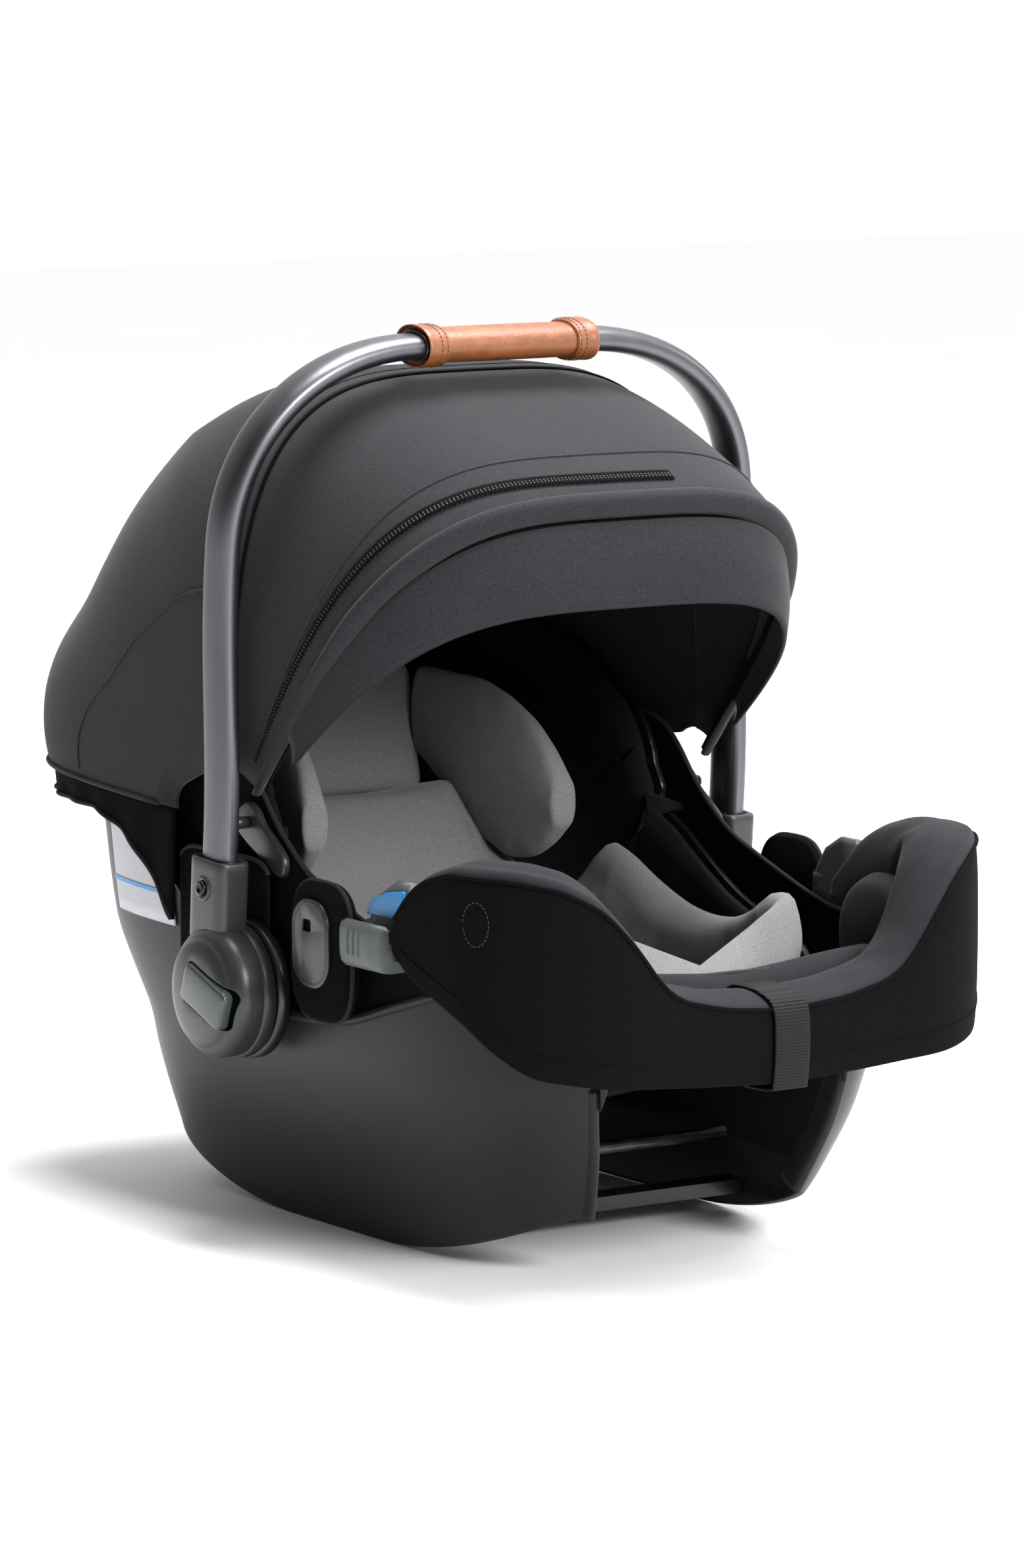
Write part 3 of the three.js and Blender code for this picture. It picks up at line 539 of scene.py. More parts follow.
def shell_wall():
    edge = mouth_turn() - 1

    def point(i, j):
        turn = lerp(edge, 0.5 - edge, j)
        top = level_on(shell_rim, turn, 250)
        bottom = level_on(rocker, turn, 20)
        z = lerp(bottom, top, i)
        return at(*shell_xy(z, turn), z)

    made = surface("shell_wall", 40, 150, point, SHELL)
    return soften(thicken(made, 4.2), 1.4, 3, 50)


def shell_bridge():
    edge = mouth_turn()

    def point(i, j):
        turn = lerp(edge - 0.004, 1.5 - edge + 0.004, j)
        x = abs(shell_xy(140, turn)[0])
        bottom = MOUTH_TOP - 34 * max(0, (x - 62) / 30) ** 2.4
        top = level_on(shell_rim, turn, 190)
        z = lerp(bottom, top, i)
        return at(*shell_xy(z, turn), z)

    made = surface("shell_bridge", 14, 60, point, SHELL)
    return soften(thicken(made, 4.2), 1.4, 3, 50)


def leg_flange(sign):
    """The rounded in-turned edge of a front leg."""
    path = []
    edge = mouth_turn()
    for k in range(34):
        z = lerp(level_on(rocker, edge, 20) + 3, 124, k / 33)
        x, y = shell_xy(z, edge)
        path.append(at(sign * (x - 1), y + 8, z))
    section = oval(8.4, 20, 19, 2 / 0.7)
    return sweep("leg_flange", path, lambda t: section, SHELL, up=lambda t: (0, 1, 0))


def rim_bead(sign):
    """The turned rim along the side of the shell, which rises to both ends."""
    path = []
    for turn in np.linspace(0.11, -0.2, 60):
        z = level_on(shell_rim, turn, 220)
        x, y = shell_xy(z, turn)
        path.append(at(sign * (x - 0.6), y, z - 2.5))
    return cord("rim_bead", path, 6.5, SHELL, sides=12)


shell_pieces = [shell_wall(), shell_bridge()]
shell_pieces += [make(sign) for make in (leg_flange, rim_bead) for _, sign in SIDES]
place(joined("shell_smooth", *shell_pieces), "shell", "shell_plastic", "outer_shell")


# ---- bucket lining and insert, measured from one spine ----
SPINE = [
    (-276, 150), (-220, 120), (-150, 95), (-80, 81), (-10, 80), (60, 93), (118, 124), (160, 162), (192, 207),
    (222, 251), (256, 292), (296, 324)]
BUCKET_WIDTH = [
    [0, 88], [0.06, 122], [0.13, 142], [0.22, 154], [0.34, 162], [0.86, 162], [0.94, 148], [1, 128]]
BUCKET_RIM = [
    [0, 34], [0.08, 64], [0.17, 92], [0.28, 124], [0.4, 154], [0.55, 176], [0.62, 186], [0.68, 190],
    [0.76, 192],
    [0.84, 168], [0.93, 106], [1, 26]]
INSERT_WIDTH = [
    [0, 88], [0.05, 106], [0.1, 114], [0.3, 122], [0.5, 124], [0.57, 118], [0.65, 102], [0.7, 92], [0.8, 80]]
INSERT_RIM = [
    [0, 84], [0.03, 100], [0.08, 104], [0.15, 100], [0.21, 106], [0.28, 118], [0.36, 134], [0.43, 146],
    [0.5, 148],
    [0.57, 92], [0.64, 82], [0.7, 76], [0.8, 78]]
INSERT_TOP = [[0.1, 30], [0.3, 36], [0.5, 44], [0.6, 54], [0.7, 66], [0.8, 74]]


def between(a, b, c, d, t):
    """A point of the smooth curve from b to c, whose neighbours are a and d."""
    square, cube = 2 * a - 5 * b + 4 * c - d, 3 * b - a - 3 * c + d
    return 0.5 * (2 * b + (c - a) * t + square * t * t + cube * t ** 3)


def catmull(points, count):
    """Points on a smooth curve through the given ones, evenly spaced along its length."""
    points = [np.array(p, float) for p in points]
    ends = [2 * points[0] - points[1], *points, 2 * points[-1] - points[-2]]
    fine = []
    for k in range(1, len(ends) - 2):
        fine += [between(*ends[k - 1:k + 3], t) for t in np.linspace(0, 1, 24, endpoint=False)]
    fine.append(points[-1])
    fine = np.array(fine)
    run = np.concatenate([[0], np.cumsum(np.linalg.norm(np.diff(fine, axis=0), axis=1))])
    steps = np.linspace(0, run[-1], count)
    return np.column_stack([np.interp(steps, run, fine[:, k]) for k in range(fine.shape[1])])


SPINE_FINE = catmull(SPINE, 401)


def spine(part):
    place_on = min(max(part, 0), 1) * 400
    k = min(int(place_on), 399)
    centre = lerp(SPINE_FINE[k], SPINE_FINE[k + 1], place_on - k)
    ahead = SPINE_FINE[min(k + 4, 400)] - SPINE_FINE[max(k - 3, 0)]
    return centre, ahead / np.linalg.norm(ahead)


def channel(part, turn, inset, width, rim, side=None):
    """A point of the bucket's section at a part of the spine, an inset in from its wall."""
    centre, (ty, tz) = spine(part)
    angle = turn * pi / 2
    rise = inset + (rim - inset) * (1 - max(0, cos(angle)) ** (2 / 3))
    x = (width - (inset if side is None else side)) * power(sin(angle), 2 / 3)
    return at(x, centre[0] - tz * rise, centre[1] + ty * rise)


def bucket(part, turn, inset):
    return channel(part, turn, inset, eased(BUCKET_WIDTH, part, 0.02), eased(BUCKET_RIM, part, 0.02))


def lining(name, first, last, near, far, trim, material):
    def point(i, j):
        part, turn = lerp(first, last, i), lerp(-1, 1, j) * (1 - trim)
        return bucket(part, turn, far)

    return soften(thicken(surface(name, 56, 44, point, material), far - near, offset=1), 1.0, 2, 50)


place(lining("bucket_smooth", 0, 1, 0, 4, 0, DARK), "shell", "dark_plastic", "seat_bucket")
foam = place(lining("foam_layer", 1 / 14, 13 / 14, 4.8, 9.6, 1 / 6, FOAM), "shell", "foam", "foam_liner")


def seat_lining():
    """The dark quilted cover inside the bucket, rolled over at its rim."""
    def point(i, j):
        part, turn = lerp(1 / 14, 13 / 14, i), lerp(-1, 1, j)
        edge = 1 - min(1, (1 - abs(turn)) / 0.06) ** 0.5
        puffed = 1.2 * sin(i * 12 * pi) ** 2 * (abs(turn) < 0.95)
        return bucket(part, turn, 16 + puffed * 0.6 - 2 * edge)

    return thicken(surface("seat_lining", 90, 70, point, INNER), 5.4, offset=1)


cover(seat_lining(), "seat_cover", fill=0.7)


SWELL_FRAMES = 20


def swell(made, pinned, pressure, cap):
    """Fills a sewn pad by cloth simulation: the pinned seams hold still, and the rest swells up to a cap."""
    rest = np.array([v.co for v in made.data.vertices])
    group = made.vertex_groups.new(name="seams")
    group.add([int(k) for k in pinned], 1.0, "REPLACE")
    sim = made.modifiers.new("cloth", "CLOTH")
    cloth_settings = sim.settings
    cloth_settings.use_pressure = True
    cloth_settings.uniform_pressure_force = pressure
    cloth_settings.effector_weights.gravity = 0
    cloth_settings.vertex_group_mass = "seams"
    cloth_settings.quality = 5
    for f in range(1, SWELL_FRAMES + 1):
        bpy.context.scene.frame_set(f)
    bake(made)
    bpy.context.scene.frame_set(1)
    now = np.array([v.co for v in made.data.vertices])
    move = now - rest
    length = np.linalg.norm(move, axis=1, keepdims=True)
    now = rest + move * np.minimum(1, cap / 1000 / np.maximum(length, 1e-9))
    made.data.vertices.foreach_set("co", now.ravel())
    made.data.shade_smooth()
    made.vertex_groups.clear()
    return subdivide(made)


def stitches(name, path, pitch=3.4, length=2.3, thick=0.7, material=THREAD):
    """A row of sewn stitches along a path: one small bead for each."""
    path = np.array([tuple(p) for p in path]) * 1000
    run = np.concatenate([[0], np.cumsum(np.linalg.norm(np.diff(path, axis=0), axis=1))])
    points, faces = [], []
    for middle in np.arange(pitch / 2, run[-1] - pitch / 2, pitch):
        ends = [
            Vector([np.interp(middle + s * length / 2, run, path[:, k]) for k in range(3)]) for s in (-1, 1)]
        ahead = (ends[1] - ends[0]).normalized()
        side = ahead.cross(Vector((0, 0, 1)) if abs(ahead.z) < 0.9 else Vector((0, 1, 0))).normalized()
        top = side.cross(ahead)
        start = len(points)
        for s, r in ((0, 0.35), (0.2, 1), (0.8, 1), (1, 0.35)):
            centre = ends[0].lerp(ends[1], s)
            points += [
                (centre + (side * cos(a) + top * sin(a)) * thick / 2 * r) / 1000 for a in around(6)]
        faces += [tuple(start + v for v in face) for face in quads(4, 6) + end_faces(4, 6)]
    return mesh_object(name, points, faces, material)


def ring_mesh(name, rings, material):
    """A closed pad through rings of points, with a fan at each end."""
    count = len(rings[0])
    points = [p for ring in rings for p in ring]
    faces = quads(len(rings), count)
    for end, ring in ((0, rings[0]), (len(rings) - 1, rings[-1])):
        centre = len(points)
        points.append(sum(ring, Vector()) / count)
        faces += [(end * count + j, end * count + (j + 1) % count, centre) for j in range(count)]
    return outward(mesh_object(name, points, faces, material))


# ---- body insert ----
def insert_side(part, turn, outer):
    width, rim = eased(INSERT_WIDTH, part, 0.02), eased(INSERT_RIM, part, 0.02)
    inset, wall = (20.5, 0) if outer else (eased(INSERT_TOP, part, 0.02), 17)
    return channel(part, turn, inset, width, rim, side=wall)


def body_insert():
    rows, half = 64, 36
    rings = []
    for i in range(rows):
        part = lerp(0, 11 / 14, i / (rows - 1))
        rings.append(
            [insert_side(part, lerp(-1, 1, j / half), True) for j in range(half + 1)]
            + [insert_side(part, lerp(1, -1, (j + 0.5) / half), False) for j in range(half)])
    made = ring_mesh("insert_pad", rings, INSERT)
    count = len(rings[0])
    pins = [i * count + j for i in range(rows) for j in range(half + 1)]
    return swell(made, pins, 4, 6)


insert = place(body_insert(), "shell", "insert_cloth", "body_insert")


# ---- head support ----
def head_pad():
    rings = []
    for x in np.linspace(-70, 70, 36):
        lean, round_off = 4 * (x / 70) ** 2, 1 - max(0, (abs(x) - 60) / 10) ** 2 * 0.12
        outline = catmull([
            (163 - lean, 246), (169 - lean, 276), (175 - lean, 304), (180 - lean, 328), (190, 334),
            (214, 330),
            (226, 316), (200, 276), (176, 246), (163 - lean, 246)], 33)[:-1]
        rings.append([at(x, 196 + (y - 196) * round_off, 304 + (z - 304) * round_off) for y, z in outline])
    pinned = [k for r in (0, 35) for k in range(r * 32, r * 32 + 32)]
    return swell(ring_mesh("head_cushion", rings, HEAD), pinned, 3, 4)


WING_TOP = [[34, 262], [44, 282], [62, 302], [84, 316], [110, 326], [168, 330]]
WING_BOTTOM = [[34, 236], [44, 222], [62, 210], [84, 208], [110, 220], [130, 238], [168, 272]]


def head_wing(sign):
    rings = []
    for y in np.linspace(168, 34, 40):
        low, high = eased(WING_BOTTOM, y, 5), eased(WING_TOP, y, 5)
        inner = 62 + (168 - y) * 0.19
        middle = (low + high) / 2
        outline = [
            (10 * power(cos(a), 0.7), (high - low) / 2 * power(sin(a), 0.8)) for a in around(36)]
        rings.append([at(sign * (inner + 10 + wide), y, middle + tall) for wide, tall in outline])
    made = ring_mesh("head_wing_pad_" + ("right" if sign > 0 else "left"), rings, HEAD)
    return swell(made, [k for r in (0, 39) for k in range(r * 36, r * 36 + 36)], 3, 3)


place(head_pad(), "shell", "insert_cloth", "head_pad")
for side, sign in SIDES:
    place(head_wing(sign), "shell", "insert_cloth", "head_wing_" + side)


# ---- foot bolster ----
BOLSTER_HALF, BOLSTER_START, BOLSTER_CORNER, FRONT_Y = 190, -196, 90, -349
BOLSTER_TOP = [
    [0, 230], [0.025, 248], [0.055, 261], [0.105, 270], [0.188, 270], [0.24, 265], [0.282, 252], [0.318, 228],
    [0.344, 206], [0.37, 194], [0.427, 186], [0.5, 182]]
BOLSTER_BOTTOM = [
    [0, 204], [0.03, 192], [0.06, 186], [0.125, 173], [0.167, 157], [0.208, 144], [0.292, 137], [0.386, 132],
    [0.5, 128]]
BOLSTER_THICK = [[0, 14], [0.18, 18], [0.28, 42], [0.37, 52], [0.5, 56]]


def bolster_path(part):
    side = BOLSTER_START - (FRONT_Y + BOLSTER_CORNER)
    lengths = [side, BOLSTER_CORNER * pi / 2, BOLSTER_HALF - BOLSTER_CORNER]
    mirror = -1 if part > 0.5 else 1
    run = (1 - part if part > 0.5 else part) * 2 * sum(lengths)
    if run <= lengths[0]:
        return mirror * BOLSTER_HALF, BOLSTER_START - run, -mirror, 0
    run -= lengths[0]
    if run <= lengths[1]:
        a = run / BOLSTER_CORNER
        x = mirror * (BOLSTER_HALF - BOLSTER_CORNER + BOLSTER_CORNER * cos(a))
        return x, FRONT_Y + BOLSTER_CORNER - BOLSTER_CORNER * sin(a), -mirror * cos(a), sin(a)
    return mirror * (BOLSTER_HALF - BOLSTER_CORNER - (run - lengths[1])), FRONT_Y, 0, 1


def bolster_section(part):
    """One section, as [depth, height] points: the lower outside edge, under the pad, then over its top."""
    half = min(part, 1 - part)
    top, bottom = eased(BOLSTER_TOP, half, 0.012), eased(BOLSTER_BOTTOM, half, 0.012)
    low = eased(BOLSTER_THICK, half, 0.012)
    high, ledge = max(low, 46), min(197, top - 16)
    mid = max(bottom + 7, ledge)
    return [
        (0, bottom + 4), (4, bottom), (low * 0.5, bottom - 1), (low - 3, bottom + 1), (low, bottom + 8),
        (low, mid),
        (high - 1, max(bottom + 9, ledge + 4)), (high, (max(bottom + 9, ledge + 2) + top - 8) / 2),
        (high - 2, top - 9),
        (high - 14, top - 1), (high / 2, top), (12, top - 2), (1, top - 8), (-1, (top + bottom) / 2)]


def bolster_point(part, depth, z):
    x, y, in_x, in_y = bolster_path(part)
    return at(x + in_x * depth, y + in_y * depth, z)


def closed_curve(points, span):
    """A smooth closed curve through the given points, with as many steps from each one to the next."""
    points = [np.array(p, float) for p in points]
    count, fine = len(points), []
    for k in range(count):
        four = [points[(k + s) % count] for s in (-1, 0, 1, 2)]
        fine += [between(*four, t) for t in np.linspace(0, 1, span, endpoint=False)]
    return fine


def foot_bolster():
    """The padded rim: a twill outside, a smooth top and inside, and a seam between the two."""
    span, seam = 4, 12
    parts = [lerp(k / 120, 0.5 - 0.5 * cos(pi * k / 120), 0.3) for k in range(121)]
    rings = [[bolster_point(p, d, z) for d, z in closed_curve(bolster_section(p), span)] for p in parts]
    made = ring_mesh("bolster_pad", rings, SMOOTH)
    made.data.materials.append(TWILL)
    count = len(rings[0])
    outside = {*range(seam * span, count + 1), *range(0, 2 * span + 1)}
    for polygon in made.data.polygons:
        corners = [v for v in polygon.vertices if v < count * len(rings)]
        if len(corners) == 4 and all(v % count in outside for v in corners):
            polygon.material_index = 1
    pinned = [*range(seam * span - 1, seam * span + 2), *range(0, 4 * span + 1)]
    pins = [k * count + j for k in range(len(parts)) for j in pinned]
    pins += [*range(2 * count), *range((len(parts) - 2) * count, len(parts) * count + 2)]
    edge = [ring[seam * span] for ring in rings]
    return swell(made, pins, 4, 5), edge, parts


bolster, bolster_edge, bolster_parts = foot_bolster()
cover(bolster, "foot_bolster", fill=0.7)
on_horn = [
    bolster.closest_point_on_mesh(at(-215, -294 + 14 * cos(a), 235 + 14 * sin(a)))[1]
    for a in np.linspace(0, 2 * pi, 49)]
cover(stitches("horn_ring", on_horn, 3.0, 2.1, 0.8))
out_of = [Vector((-bolster_path(p)[2], -bolster_path(p)[3], 0)) for p in bolster_parts]
bolster_line = [p + o * 0.0006 for p, o in zip(bolster_edge, out_of)][1:-1]
piping("bolster_piping", bolster_line, 2.6, TWILL)
hem = [
    bolster.closest_point_on_mesh(bolster_point(p, -1.6, bolster_section(p)[1][1] + 14))[1]
    for p in bolster_parts[3:-3]]
piping("bolster_hem", hem, 1.3, TWILL)


def leg_pad(side, sign):
    """The rounded pad on the inside of a horn."""
    rings = []
    for t in np.linspace(0, 1, 16):
        grow = 1 - 0.3 * t ** 2 - 0.5 * max(0, (t - 0.75) / 0.25) ** 2
        outline = oval(80 * grow, 84 * grow, 44, 2 / 0.9)
        rings.append([at(sign * lerp(150, 120, t), -262 + y, 196 + z) for y, z in outline])
    return subdivide(ring_mesh("leg_cushion_" + side, rings, SMOOTH))


for side, sign in SIDES:
    cover(leg_pad(side, sign), "leg_pad_" + side, fill=0.7)


def front_pad():
    """The soft roll between the front rim and the insert."""
    rings = []
    for x in np.linspace(-118, 118, 60):
        out = abs(x) / 118
        fade = 1 - 0.45 * out ** 3
        outline = oval(30 * fade, 38 * fade, 28)
        rings.append([at(x, -288 + 16 * out ** 2 + y, 170 + 14 * out ** 1.5 + z) for y, z in outline])
    return subdivide(ring_mesh("front_seat_pad", rings, SMOOTH))


cover(front_pad(), fill=0.7)


def strip(name, path, across, wide, thick, material):
    """A flat strap: a path of points, and the direction across it."""
    across = Vector(across).normalized()
    made = surface(
        name, len(path), 5,
        lambda i, j: path[round(i * (len(path) - 1))] + across * (j - 0.5) * wide / 1000, material)
    return soften(thicken(made, thick, offset=0), thick / 3, 2, 50)


def rim_strap():
    outline = bolster_section(0.5)
    order = [outline[k] for k in (7, 8, 9, 10, 11, 12, 13, 0, 1, 2)]
    grown = []
    centre = np.mean(order, axis=0)
    for d, z in order:
        away = np.array([d, z]) - centre
        grown.append(np.array([d, z]) + away / np.linalg.norm(away) * 3.2)
    return [bolster_point(0.5, d, z) for d, z in catmull(grown, 60)]


strap_path = rim_strap()
place(strip("rim_webbing", strap_path, (1, 0, 0), 26, 1.6, WEBBING), "shell", "webbing", "rim_strap")


def spine_strap(name, first, last, x, wide, depth, *replaced):
    shift = Vector((x / 1000, 0, 0))
    path = [channel(lerp(first, last, t), 0, depth, 0, depth) + shift for t in np.linspace(0, 1, 40)]
    return place(strip(name, path, (1, 0, 0), wide, 1.5, WEBBING), "shell", "webbing", *replaced)


spine_strap("crotch_webbing", 3 / 14, 4 / 14, 0, 28, 18.2, "crotch_strap")
spine_strap("adjuster_strap", 1 / 14, 11 / 14, 0, 28, -3.8, "adjuster_webbing")
for side, sign in SIDES:
    spine_strap("harness_strap_" + side, 6 / 14, 11 / 14, sign * 20.5, 19, 19.2, "shoulder_strap_" + side)


# ---- carry handle ----
HANDLE_Y, LEAN = -4, radians(3.95)
ARCH_HALF, ARCH_TOP, SHOULDER, ARCH_FLAT, ARCH_FOOT = 197, 563, 440, 60, 200


def in_handle(x, deep, up):
    """A point of the handle's own frame: deep is toward the head end, and up is above the pivot's height."""
    c, s = cos(LEAN), sin(LEAN)
    return at(x, HANDLE_Y + deep * c - up * s, HUB_Z + deep * s + up * c)


def arch(t):
    """The arch's centre line, from its left foot to its right."""
    a, b = ARCH_HALF - ARCH_FLAT, ARCH_TOP - SHOULDER
    lengths = [SHOULDER - ARCH_FOOT, 1.58 * (a + b) / 2, ARCH_FLAT]
    run = (1 - t if t > 0.5 else t) * 2 * sum(lengths)
    if run <= lengths[0]:
        x, z = ARCH_HALF, ARCH_FOOT + run
    elif run <= lengths[0] + lengths[1]:
        angle = (run - lengths[0]) / lengths[1] * pi / 2
        x, z = ARCH_FLAT + a * max(0, cos(angle)) ** 0.9, SHOULDER + b * sin(angle) ** 0.9
    else:
        x, z = ARCH_FLAT - (run - lengths[0] - lengths[1]), ARCH_TOP
    bow = 4.5 * (1 - cos(2 * pi * max(0, (z - 260) / (ARCH_TOP - 260))))
    return in_handle(x if t > 0.5 else -x, bow, z - HUB_Z)


arch_path = [Vector(p) for p in catmull([tuple(arch(t)) for t in np.linspace(0, 1, 80)], 200)]
deep_way = in_handle(0, 1, 0) - in_handle(0, 0, 0)
tube = sweep("arch_tube", arch_path, lambda t: oval(16, 30, 32, 2.5), TUBE, up=lambda t: deep_way)
place(tube, "handle", "handle_metal", "handle_tube")


def grip():
    """The leather sleeve: a long sleeve, and a raised collar over each end of it."""
    pieces = []
    top = ARCH_TOP - HUB_Z
    sleeve = [(-61, 0.93), (-60.5, 0.97), (-45, 0.985), (0, 1), (45, 0.985), (60.5, 0.97), (61, 0.93)]

    def leather_ring(x, k, wide, high):
        return [in_handle(x, a * k, top + b * k) for a, b in oval(wide, high, 48, 2 / 0.9)]

    outline = catmull(sleeve, 60)
    pieces.append(ring_mesh("sleeve", [leather_ring(x, k, 36.5, 22.5) for x, k in outline], LEATHER))
    for end in (-1, 1):
        collar = catmull([
            (49, 0.93), (50, 0.985), (53, 1.0), (58, 1.01), (62, 1.035), (64.6, 1.03), (65.3, 0.98),
            (63, 0.9)], 30)
        pieces.append(ring_mesh("collar", [leather_ring(end * x, k, 40.5, 26.5) for x, k in collar], LEATHER))
        mouth = (62, 1), (65.2, 1.02), (65.6, 0.98), (65.2, 0.94)
        mouth = [leather_ring(end * x, k, 34, 20) for x, k in mouth]
        pieces.append(ring_mesh("mouth", mouth, DARK))
        for x, k, colour in ((51.2, 1.0, LEATHER), (55.4, 1.012, LEATHER)):
            loop = leather_ring(end * x, k, 40.8, 26.8)
            pieces.append(stitches("collar_stitches", [*loop, loop[0]], 3.0, 2.1, 0.8, colour))
    seam = [in_handle(x, 3, top - 11.6) for x in np.linspace(-48, 48, 50)]
    pieces.append(stitches("under_seam", seam, 4, 2.8, 1.0, LEATHER))
    return joined("leather_grip", *pieces)


place(grip(), "handle", "grip_leather", "grip_sleeve")


def button_plate(name, grow, x0, x1, sign, material, bevel):
    outline = rounded(50 + 2 * grow, 26 + 2 * grow, 5 + grow, -26, HUB_Z, 20, 8)
    return prism(name, outline, sign * x0, sign * x1, material, bevel)


def hub(side, sign):
    """The round housing at the foot of the handle: the button's window, and the tube's socket above it."""
    profile = [
        (30, 184.6), (41, 184.6), (42, 185.6), (42, 203), (41.6, 205.5), (40.4, 208.4), (38.4, 211),
        (36, 213),
        (34.8, 213.6), (34.2, 214.6), (33.4, 215.6), (31, 217), (26, 218.3), (16, 219.3), (4, 219.6)]
    dome = lathe("hub_dome", profile, HUB, TRIM, 96, sign)
    window = button_plate("window", 1.0, 206, 240, sign, TRIM, 0)
    cut(dome, window)
    soften(dome, 0.9, 3, 35)
    rings = []
    for up, across, deep in (
            (12, 20, 34), (22, 22, 38), (34, 23.5, 40), (60, 24, 40), (78, 24, 40), (82.6, 24, 40),
            (84.4, 23, 38.8),
            (84.8, 20, 34), (83.5, 17.4, 31), (78, 17, 30.8)):
        rings.append([
            in_handle(sign * ARCH_HALF + x, y, up) for x, y in oval(across, deep, 44, 2 / 0.42)])
    neck = ring_mesh("hub_neck", rings, TRIM)
    boss_at = in_handle(0, 0, 66) * 1000
    centre = (boss_at.y - MIDDLE_Y, boss_at.z)
    profile = (8.4, 205), (8.2, 209.2), (7.6, 210), (6.4, 210.2), (5.6, 209.6)
    boss = lathe("boss", profile, centre, TRIM, 40, sign)
    profile = (42.6, 184.8), (43.2, 186), (43.2, 192), (42.4, 193.4), (40, 193.6)
    ring = lathe("hub_ring", profile, HUB, TRIM, 96, sign)
    made = joined("hub_shell_" + side, dome, neck, boss, ring)
    place(made, "handle", "trim_plastic", "handle_hub_" + side)
    profile = (5, 209), (5, 211.2), (4.4, 212), (2.6, 212.5), (2.2, 211.2), (0.6, 211.1)
    head = lathe("screw_head_" + side, profile, centre, BLACK_STEEL, 32, sign)
    place(head, "handle", "steel", "socket_screw_" + side)
    pad = button_plate("button_block_" + side, -0.2, 213.6, 221.8, sign, BUTTON, 2.2)
    place(pad, "release_button_" + side, "button_finish", "release_button_" + side)
    profile = (9, 174.2), (43, 174.2), (44.4, 176), (44.4, 181), (43, 183.2), (9, 183.6)
    base = lathe("hub_seat_" + side, profile, HUB, DARK, 72, sign)
    place(base, "shell", "trim_plastic", "hub_base_" + side)


for side, sign in SIDES:
    hub(side, sign)


# ---- hood ----
FRONT_ANGLE, MIDDLE_ANGLE, HOOD_POWER = 50, 90.6, 3.6
HOOD_LEVELS = [
    (FRONT_ANGLE, 277, 179.5), (58, 275.5, 180.5), (68, 276, 181), (80, 278.5, 181.5),
    (MIDDLE_ANGLE, 281.4, 182.2)]
REAR_PROFILE = [
    [MIDDLE_ANGLE, 281.4], [93.5, 284], [104, 289], [118, 296], [145, 294], [154, 298], [160, 312],
    [165, 323], [171, 327],
    [177, 316], [181, 300]]
REAR_POWER = [[127, HOOD_POWER], [150, 4.2], [165, 4.6], [177, 4.8]]
HANDLE_REACH = [[0, 389], [66, 389], [100, 384], [130, 370], [150, 355], [165, 338], [178, 312], [190, 290]]


def hood(angle, turn, radius, width, exponent=HOOD_POWER):
    a = turn * pi / 2
    reach = radius * abs(cos(a)) ** (2 / exponent)
    theta = radians(angle)
    return at(width * power(sin(a), 2 / exponent), -reach * cos(theta), HOOD_Z + reach * sin(theta))


def rear_hood(angle, turn, inset=0.0):
    exponent = eased(REAR_POWER, angle, 4)
    radius = eased(REAR_PROFILE, angle, 3) - inset
    p = hood(angle, turn, radius, 184 - inset * 0.73, exponent) * 1000
    y, z = p.y - MIDDLE_Y - HUB_Y, p.z - HUB_Z
    limit = eased(HANDLE_REACH, abs(p.x), 8) - inset
    over = hypot(y, z)
    if angle > 96 and over > limit:
        k = lerp(1, limit / over, min(1, (angle - 96) / 8))
        y, z = y * k, z * k
    return at(p.x, HUB_Y + y, HUB_Z + z)


def front_hood(angle, turn, lift=0.0):
    radius, width = (eased([(a, v[k]) for a, *v in HOOD_LEVELS], angle, 4) for k in (0, 1))
    part = (angle - FRONT_ANGLE) / (MIDDLE_ANGLE - FRONT_ANGLE)
    sag = 5.5 * sin(pi * part) * cos(turn * pi / 2) ** 0.5
    return hood(angle, turn, radius - sag + lift, width + lift * 0.8)


def fan_weights(made, a, b, full, none):
    """Bakes a cloth's placement into its mesh and finds each point's angle about the hood's pivot; it blends
    nothing and does not fold the cloth.
    The bodies a and b are not used, and the angles found are not kept."""
    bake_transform(made)
    pivot = at(0, 0, HOOD_Z)
    for v in made.data.vertices:
        angle = degrees(atan2(v.co.z - pivot.z, pivot.y - v.co.y)) % 360
        if angle > 260:
            angle = min(full, none)


def fan(made, fold, *replaced):
    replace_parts(made, *replaced) if replaced else made
    fan_weights(made, *fold)


REAR_FAN = "shell", "hood_middle", MIDDLE_ANGLE, 150
FRONT_FAN = "hood_middle", "hood_front", FRONT_ANGLE, MIDDLE_ANGLE
SPREAD = [copysign(abs(t) ** 0.85, t) * 0.985 for t in np.linspace(-1, 1, 97)]


def hood_surface(name, rows, point, material=HOOD):
    """A cloth across the hood: point(i, turn), with its turns spread a little toward the sides."""
    columns = len(SPREAD)
    return surface(name, rows, columns, lambda i, j: point(i, SPREAD[round(j * (columns - 1))]), material)


rear_cloth = hood_surface("hood_rear_cloth", 74, lambda i, t: rear_hood(lerp(91.2, 178, i), t))
cloth_sheet(rear_cloth, 2.4)
fan(rear_cloth, REAR_FAN, "hood_rear_panel")
front_cloth = hood_surface("hood_front_cloth", 40, lambda i, t: front_hood(lerp(FRONT_ANGLE, 90.4, i), t))
cloth_sheet(front_cloth, 2.4)
fan(front_cloth, FRONT_FAN, "hood_front_panel", "hood_middle_panel")


def hood_line(name, angle, lift, thick, material, limit=0.985):
    path = [front_hood(angle, t, lift) for t in np.linspace(-limit, limit, 120)]
    return cord(name, path, thick, material)


